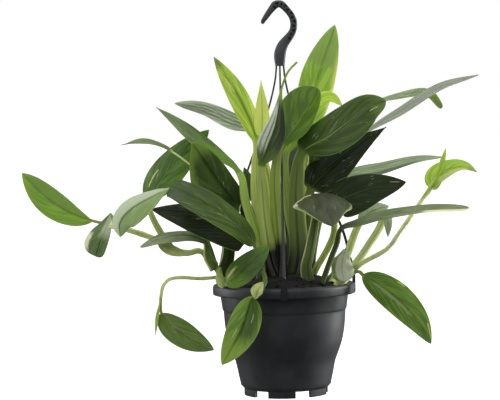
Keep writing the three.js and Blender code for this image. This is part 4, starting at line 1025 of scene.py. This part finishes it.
def makePot():
    shape = potShape
    footOut, footIn = shape["footRadius"], shape["footRadius"] - shape["footWall"]
    waist = [Vector((r, z, 0)) for r, z in shape["waist"]]
    side = [pathPoint(waist, i / 24).to_tuple()[:2] for i in range(25)] + shape["shoulder"]
    outside = [(footIn, 0), (footOut, 0), (footOut, shape["footHeight"])] + side
    inside = [(r - shape["wall"], z) for r, z in reversed(side)]
    under, over = shape["base"]
    base = [(footIn, over), (0, over), (0, under), (footIn, under)]
    pot = addTurned("plasticPot", outside + shape["rim"] + inside + base, shape["sides"])
    softenEdges(pot, shape["edgeRound"], degrees=28)
    width = 2 * footOut * math.sin(math.radians(shape["notchDegrees"] / 2))
    for i in range(shape["notches"]):
        degrees = shape["firstNotch"] + 360 / shape["notches"] * i
        cutAway(pot, addShape(
            bpy.ops.mesh.primitive_cube_add, size=1, location=atAngle(footOut - shape["footWall"] / 2, degrees, 0),
            rotation=(0, 0, math.radians(degrees)),
            scale=(shape["footWall"] * 3 * mm, width * mm, shape["notchDepth"] * mm)))
    for i in range(shape["drainHoles"]):
        cutAway(pot, addShape(
            bpy.ops.mesh.primitive_cylinder_add, vertices=24, radius=shape["drainRadius"] * mm,
            depth=shape["drainDepth"] * mm,
            location=atAngle(shape["drainRing"], 360 / shape["drainHoles"] * i, shape["drainHeight"])))
    bpy.ops.object.shade_smooth_by_angle(angle=math.radians(shape["smoothDegrees"]))
    return pot


potPlastic = makePlasticMaterial("potPlastic", 0.25)
hookPlastic = makePlasticMaterial("hookPlastic", 0.2)
pocketShadePlastic = makePlasticMaterial("pocketShadePlastic", 0.2)
hangerPlastic = makePlasticMaterial("hangerPlastic", 0.2)
finishPiece(makePot(), potPlastic, "pot", "pot")
print("pot made")

soilLook = {
    "dark": (9, 8, 7), "brown": (30, 25, 20), "fibre": (46, 37, 29), "fibreShare": 0.35, "crumbScale": 260,
    "fibreScale": 420, "sides": 120, "domeRings": 34, "seed": 4,
    "lumps": 1.5, "coarseScale": 90, "fineScale": 330, "fineShare": 0.7, "calmEdge": (1, 6), "lumpFrom": 112,
    "crumbs": 260, "crumbSize": (0.6, 1.5), "crumbFlat": (1.3, 1, 0.7), "crumbLift": 0.4, "crumbMargin": 4,
    "bed": [(0, 9.8), (41.5, 9.8), (47.3, 11), (52.9, 37), (56.3, 46), (60.4, 58), (62.9, 71), (66, 94.5)],
}


def makeSoilMaterial():
    look = soilLook
    material, tree, shader = startMaterial("pottingSoil")
    place = objectPlace(tree)
    crumbs = cloudAt(place, look["crumbScale"], 6)
    fibres = tree.nodes.new("ShaderNodeTexVoronoi")
    plug(fibres.inputs["Vector"], place)
    plug(fibres.inputs["Scale"], look["fibreScale"])
    colour = blendColour(ramp(crumbs, 0.4, 0.7), look["dark"], look["brown"])
    threads = ramp(fibres.outputs["Distance"], 0.25, 0.05, 0, look["fibreShare"])
    colour = blendColour(threads, colour, look["fibre"])
    dressShader(shader, colour, ramp(crumbs, 0.3, 0.7, 0.8, 0.98), crumbs, strength=0.9, depth=1.2)
    return material


def makeSoil():
    look, edge = soilLook, soilShape["edgeRadius"]
    profile = look["bed"] + [(edge, 110)]
    for i in range(look["domeRings"] + 1):
        r = edge * (1 - i / look["domeRings"])
        profile.append((r, soilHeight(r, 0)))
    soil = addTurned("soilBed", profile, look["sides"])
    calm, lively = (edge - width for width in look["calmEdge"])
    for vertex in soil.data.vertices:
        radius, height = math.hypot(vertex.co.x, vertex.co.y) / mm, (vertex.co.z - potFloor) / mm
        if height > look["lumpFrom"] and radius < calm:
            lump = noise.noise(vertex.co * look["coarseScale"])
            lump += noise.noise(vertex.co * look["fineScale"]) * look["fineShare"]
            vertex.co.z += lump * look["lumps"] * smooth(calm, lively, radius) * mm
    smoothFaces(soil)
    draw = random.Random(look["seed"])
    pattern = addShape(bpy.ops.mesh.primitive_ico_sphere_add, subdivisions=1, radius=1)
    lumps = []
    for i in range(look["crumbs"]):
        reach = (edge - look["crumbMargin"]) * math.sqrt(draw.random())
        angle = draw.random() * fullTurn
        x, y = reach * math.cos(angle), reach * math.sin(angle)
        size = look["crumbSize"][0] + look["crumbSize"][1] * draw.random() ** 2
        lump = pattern.copy()
        lump.data = pattern.data.copy()
        bpy.context.collection.objects.link(lump)
        for vertex in lump.data.vertices:
            swell = size * (1 + 0.35 * noise.noise(vertex.co * 2.3 + Vector((i, 0, 0))))
            spot = vertex.co * Vector(look["crumbFlat"]) * swell
            spot.rotate(Matrix.Rotation(angle * 5, 3, "Z"))
            vertex.co = abovePotFloor(*(spot + Vector((x, y, soilHeight(x, y) + look["crumbLift"]))))
        lumps.append(lump)
    bpy.data.objects.remove(pattern)
    return joinPieces([soil] + lumps)


finishPiece(makeSoil(), makeSoilMaterial(), "soil", "soil")
print("soil made")

# A strand's run is radius, height and the share of its bow; each strand has its direction in degrees and
# its bow. The neck is the part of a clip above neckStart.
hangerShape = {
    "strandRadius": 1.4,
    "strandRun": [(4.1, 358.2, 0), (5.8, 342, 0.1), (13.3, 311, 0.45), (34.4, 253, 1), (68.5, 174, 0.4),
                  (75, 147, 0.1), (79.7, 131.5, 0)],
    "strands": {"strand_front": (-91, 0), "strand_right": (13, 0), "strand_left": (154, 3.6)},
    "clip": [(78.3, 132), (78.3, 126), (78.3, 109.7), (73.7, 109.7), (73.7, 108), (79.6, 108), (80, 108.5),
             (80, 126), (80, 133), (79.2, 133)],
    "clipWidth": 6.9, "clipNeck": 0.62, "neckStart": 130, "edgeRound": 0.35,
}


def makeStrand(name, degrees, bow):
    shape = hangerShape
    points = [atAngle(r + share * bow, degrees, z) for r, z, share in shape["strandRun"]]
    rod = makeShoot(name, points, shape["strandRadius"], seed=0, jointed=False)
    outline = shape["clip"]
    clip = addShape(
        bpy.ops.mesh.primitive_circle_add, vertices=len(outline), radius=1, fill_type="NGON")
    angle = math.radians(degrees)
    sideways = Vector((-math.sin(angle), math.cos(angle), 0))
    across = sideways * shape["clipWidth"] * mm
    for vertex in clip.data.vertices:
        r, z = cornerOf(vertex, outline)
        vertex.co = atAngle(r, degrees, z) - across / 2
    bpy.ops.object.mode_set(mode="EDIT")
    bpy.ops.mesh.select_all(action="SELECT")
    bpy.ops.mesh.extrude_region_move(TRANSFORM_OT_translate={"value": across})
    bpy.ops.object.mode_set(mode="OBJECT")
    faceOutward()
    for vertex in clip.data.vertices:
        if vertex.co.z > potFloor + shape["neckStart"] * mm:
            vertex.co -= sideways * vertex.co.dot(sideways) * (1 - shape["clipNeck"])
    softenEdges(clip, shape["edgeRound"], degrees=30)
    return joinPieces([rod, clip])


for node, (degrees, bow) in hangerShape["strands"].items():
    name = "hangerStrand" + node.split("_")[1].capitalize()
    finishPiece(makeStrand(name, degrees, bow), hangerPlastic, "hanger", node)

# The hook's two edges as picture u, v pairs from the tip to the hub, with half its depth in mm
hookShape = {
    "edges": [
        (262.1, 24.0, 262.9, 24.1, 0.9), (261.1, 22.9, 264.1, 23.5, 2.0), (260.8, 21, 265.3, 21.8, 2.7),
        (262.9, 16.6, 268.6, 17.8, 3.1), (265.3, 12.4, 272, 13.5, 3.2), (267.6, 8.9, 274.6, 10.6, 3.2),
        (269.8, 5.5, 276.6, 8.7, 3.2), (272.4, 1.9, 277.9, 7.8, 3.2), (275.5, 0.5, 278.6, 7.4, 3.2),
        (278.8, 0.2, 279, 7.4, 3.2), (282, 0.7, 279.7, 7.7, 3.2), (284.8, 2.4, 280.9, 8.5, 3.2),
        (287.4, 5.3, 282.6, 10, 3.2), (290, 8.3, 284.4, 11.8, 3.2), (292.4, 11.3, 286.3, 13.9, 3.2),
        (294.5, 14.4, 288, 16.3, 3.2), (296.2, 18, 289.3, 18.9, 3.2), (297, 21.5, 290, 22, 3.2),
        (297.2, 25, 290.2, 25, 3.2), (296.9, 29, 289.7, 28.6, 3.2), (295.9, 32.5, 288.3, 31.4, 3.2),
        (294.5, 35.6, 285.8, 34.3, 3.2), (293, 38.2, 283.3, 36.8, 3.2), (291.5, 40.6, 281, 39.2, 3.3),
        (290, 42.8, 279, 41.5, 3.5), (288.7, 45, 277.4, 44, 3.9), (287.5, 47.5, 276, 46.8, 4.4),
        (286.3, 51.5, 274.6, 50.8, 5.0), (285.7, 55.5, 273.9, 55.3, 5.4), (285.2, 60, 274.3, 60, 5.5),
        (284.8, 64.5, 275.1, 64.5, 5.5), (284.7, 65.9, 275.3, 65.9, 5.4),
    ],
    "rings": 125, "columns": 24, "square": 3.6, "edgeRound": 0.2,
    "pocketLine": [(272.8, 9), (275.9, 5), (280, 3.5), (284.2, 5.2), (287.6, 9.2), (290.9, 13.5), (293.2, 18.5),
                   (294.1, 24), (293.5, 30), (291.1, 35.5), (287.6, 40)],
    "pockets": 12, "pocketHalf": 1.9, "pocketReach": 0.43, "pocketLevels": (1.6, 6),
}


def addPocketCutter(corners, face):
    cutter = addShape(bpy.ops.mesh.primitive_cylinder_add, vertices=len(corners), radius=1, depth=1)
    for vertex in cutter.data.vertices:
        level = hookShape["pocketLevels"][int(vertex.co.z > 0)]
        vertex.co = cornerOf(vertex, corners) + Vector((0, face * level * mm, 0))
    return cutter


def makeHook():
    shape = hookShape
    outer, inner = ([fromPicture((*e[k:k + 2], 0)) for e in shape["edges"]] for k in (0, 2))
    deep = [Vector((0, e[4], 0)) for e in shape["edges"]]
    sections = []
    for i in range(shape["rings"]):
        a, b, depth = (pathPoint(path, i / (shape["rings"] - 1)) for path in (outer, inner, deep))
        section = []
        for k in range(shape["columns"]):
            angle = fullTurn * k / shape["columns"]
            x, y = math.cos(angle), math.sin(angle)
            size = (abs(x) ** shape["square"] + abs(y) ** shape["square"]) ** (-1 / shape["square"])
            section.append((a + b) / 2 + (b - a) / 2 * x * size + depth * y * size * mm)
        sections.append(section)
    hook = addRingTube("hangerHook", sections, {})
    faceOutward()

    line = [fromPicture((u, v, 0)) for u, v in shape["pocketLine"]]
    count, reach = shape["pockets"], shape["pocketReach"]
    cutters = []
    for i in range(count):
        shares = [min(max(i + 0.5 + step, 0), count) / count for step in (-reach, 0, reach)]
        point = shape["pocketHalf"] * mm * (1 if i % 2 == 0 else -1)
        corners = [
            place + Vector((-ahead.z, 0, ahead.x)) * offset
            for (share, place, ahead), offset in zip(pathStops(line, 0, 1, shares)[1], (-point, point, -point))]
        cutters += [addPocketCutter(corners, face) for face in (1, -1)]
    cutter = joinPieces(cutters)
    for piece in (hook, cutter):
        piece.data.materials.append(hookPlastic)
        piece.data.materials.append(pocketShadePlastic)
    # the pocket faces take the darker second material: painted shade in the hollows
    for polygon in cutter.data.polygons:
        polygon.material_index = 1
    faceOutward()
    cutAway(hook, cutter)
    softenEdges(hook, shape["edgeRound"], degrees=35)
    return hook


finishPiece(makeHook(), hookPlastic, "hanger", "hook")
print("hanger made")

# Studio: a pale floor some way below the hanging pot, wide soft lamps above and behind, little from below

studio = {
    "floorDrop": 0.15, "floorSize": 60, "floorPaint": 0.9, "floorGlow": 0.7, "floorBounce": 0.12,
    "zenith": 0.32, "horizon": 0.19, "below": 0.07, "key": 1.25, "keyWidth": 75, "keyTilt": (38, -14),
    "panels": {  # place, aim, size and power
        "topLamp": ((-0.1, 0.55, 1.0), (0, 0, -0.25), (1.3, 1.3), 4.5),
        "leftLamp": ((-1.3, 0.35, -0.1), (0, 0, -0.35), (0.5, 1.3), 11),
        "rightLamp": ((1.3, 0.35, -0.1), (0, 0, -0.35), (0.5, 1.3), 30),
    },
}


def showToCamera(hidden, seen, surface):
    tree = surface.id_data
    mixed = tree.nodes.new("ShaderNodeMixShader")
    path = tree.nodes.new("ShaderNodeLightPath")
    plug(surface, plugAll(mixed, (path.outputs["Is Camera Ray"], hidden, seen)))


def makeFloorPaint():
    paint, tree, shader = startMaterial("studioPaint")
    paleness, bounce = studio["floorPaint"], studio["floorBounce"]
    for key, value in (("Base Color", (paleness, paleness, paleness, 1)), ("Roughness", 0.9),
                       ("Emission Color", (1, 1, 1, 1)), ("Emission Strength", studio["floorGlow"])):
        plug(shader.inputs[key], value)
    dim = tree.nodes.new("ShaderNodeBsdfDiffuse")
    plug(dim.inputs["Color"], (bounce, bounce, bounce, 1))
    showToCamera(dim.outputs[0], shader.outputs[0], tree.nodes["Material Output"].inputs["Surface"])
    return paint


def makeSky():
    world = bpy.data.worlds.new("studioSky")
    bpy.context.scene.world = world
    world.use_nodes = True
    tree = world.node_tree
    sky, seen = tree.nodes["Background"], tree.nodes.new("ShaderNodeBackground")
    for background in (sky, seen):
        plug(background.inputs["Color"], (1, 1, 1, 1))
    height = tree.nodes.new("ShaderNodeSeparateXYZ")
    plug(height.inputs[0], tree.nodes.new("ShaderNodeTexCoord").outputs["Generated"])
    above = ramp(height.outputs[2], 0, 0.7, studio["horizon"], studio["zenith"])
    below = ramp(height.outputs[2], 0, -0.3, 0, studio["horizon"] - studio["below"])
    plug(sky.inputs["Strength"], minus(above, below))
    showToCamera(sky.outputs[0], seen.outputs[0], tree.nodes["World Output"].inputs["Surface"])


def addPanel(name, spot, aim, size, power):
    bpy.ops.object.light_add(type="AREA", location=spot)
    lamp = bpy.context.object
    lamp.name = name
    lamp.data.shape = "RECTANGLE"
    lamp.data.size, lamp.data.size_y = size
    lamp.data.energy = power
    lamp.rotation_euler = (Vector(aim) - Vector(spot)).to_track_quat("-Z", "Y").to_euler()


def makeStudio():
    floor = addShape(
        bpy.ops.mesh.primitive_plane_add, size=studio["floorSize"], location=(0, 0, potFloor - studio["floorDrop"]))
    floor.name = "studioFloor"
    floor.data.materials.append(makeFloorPaint())
    makeSky()
    tiltX, tiltY = (math.radians(v) for v in studio["keyTilt"])
    bpy.ops.object.light_add(type="SUN", rotation=(tiltX, tiltY, 0), location=(0, 0, 2))
    key = bpy.context.object
    key.name = "keyLamp"
    key.data.energy = studio["key"]
    key.data.angle = math.radians(studio["keyWidth"])
    for name, panel in studio["panels"].items():
        addPanel(name, *panel)
    bpy.context.scene.view_settings.view_transform = "Standard"


makeStudio()
print("studio lit")
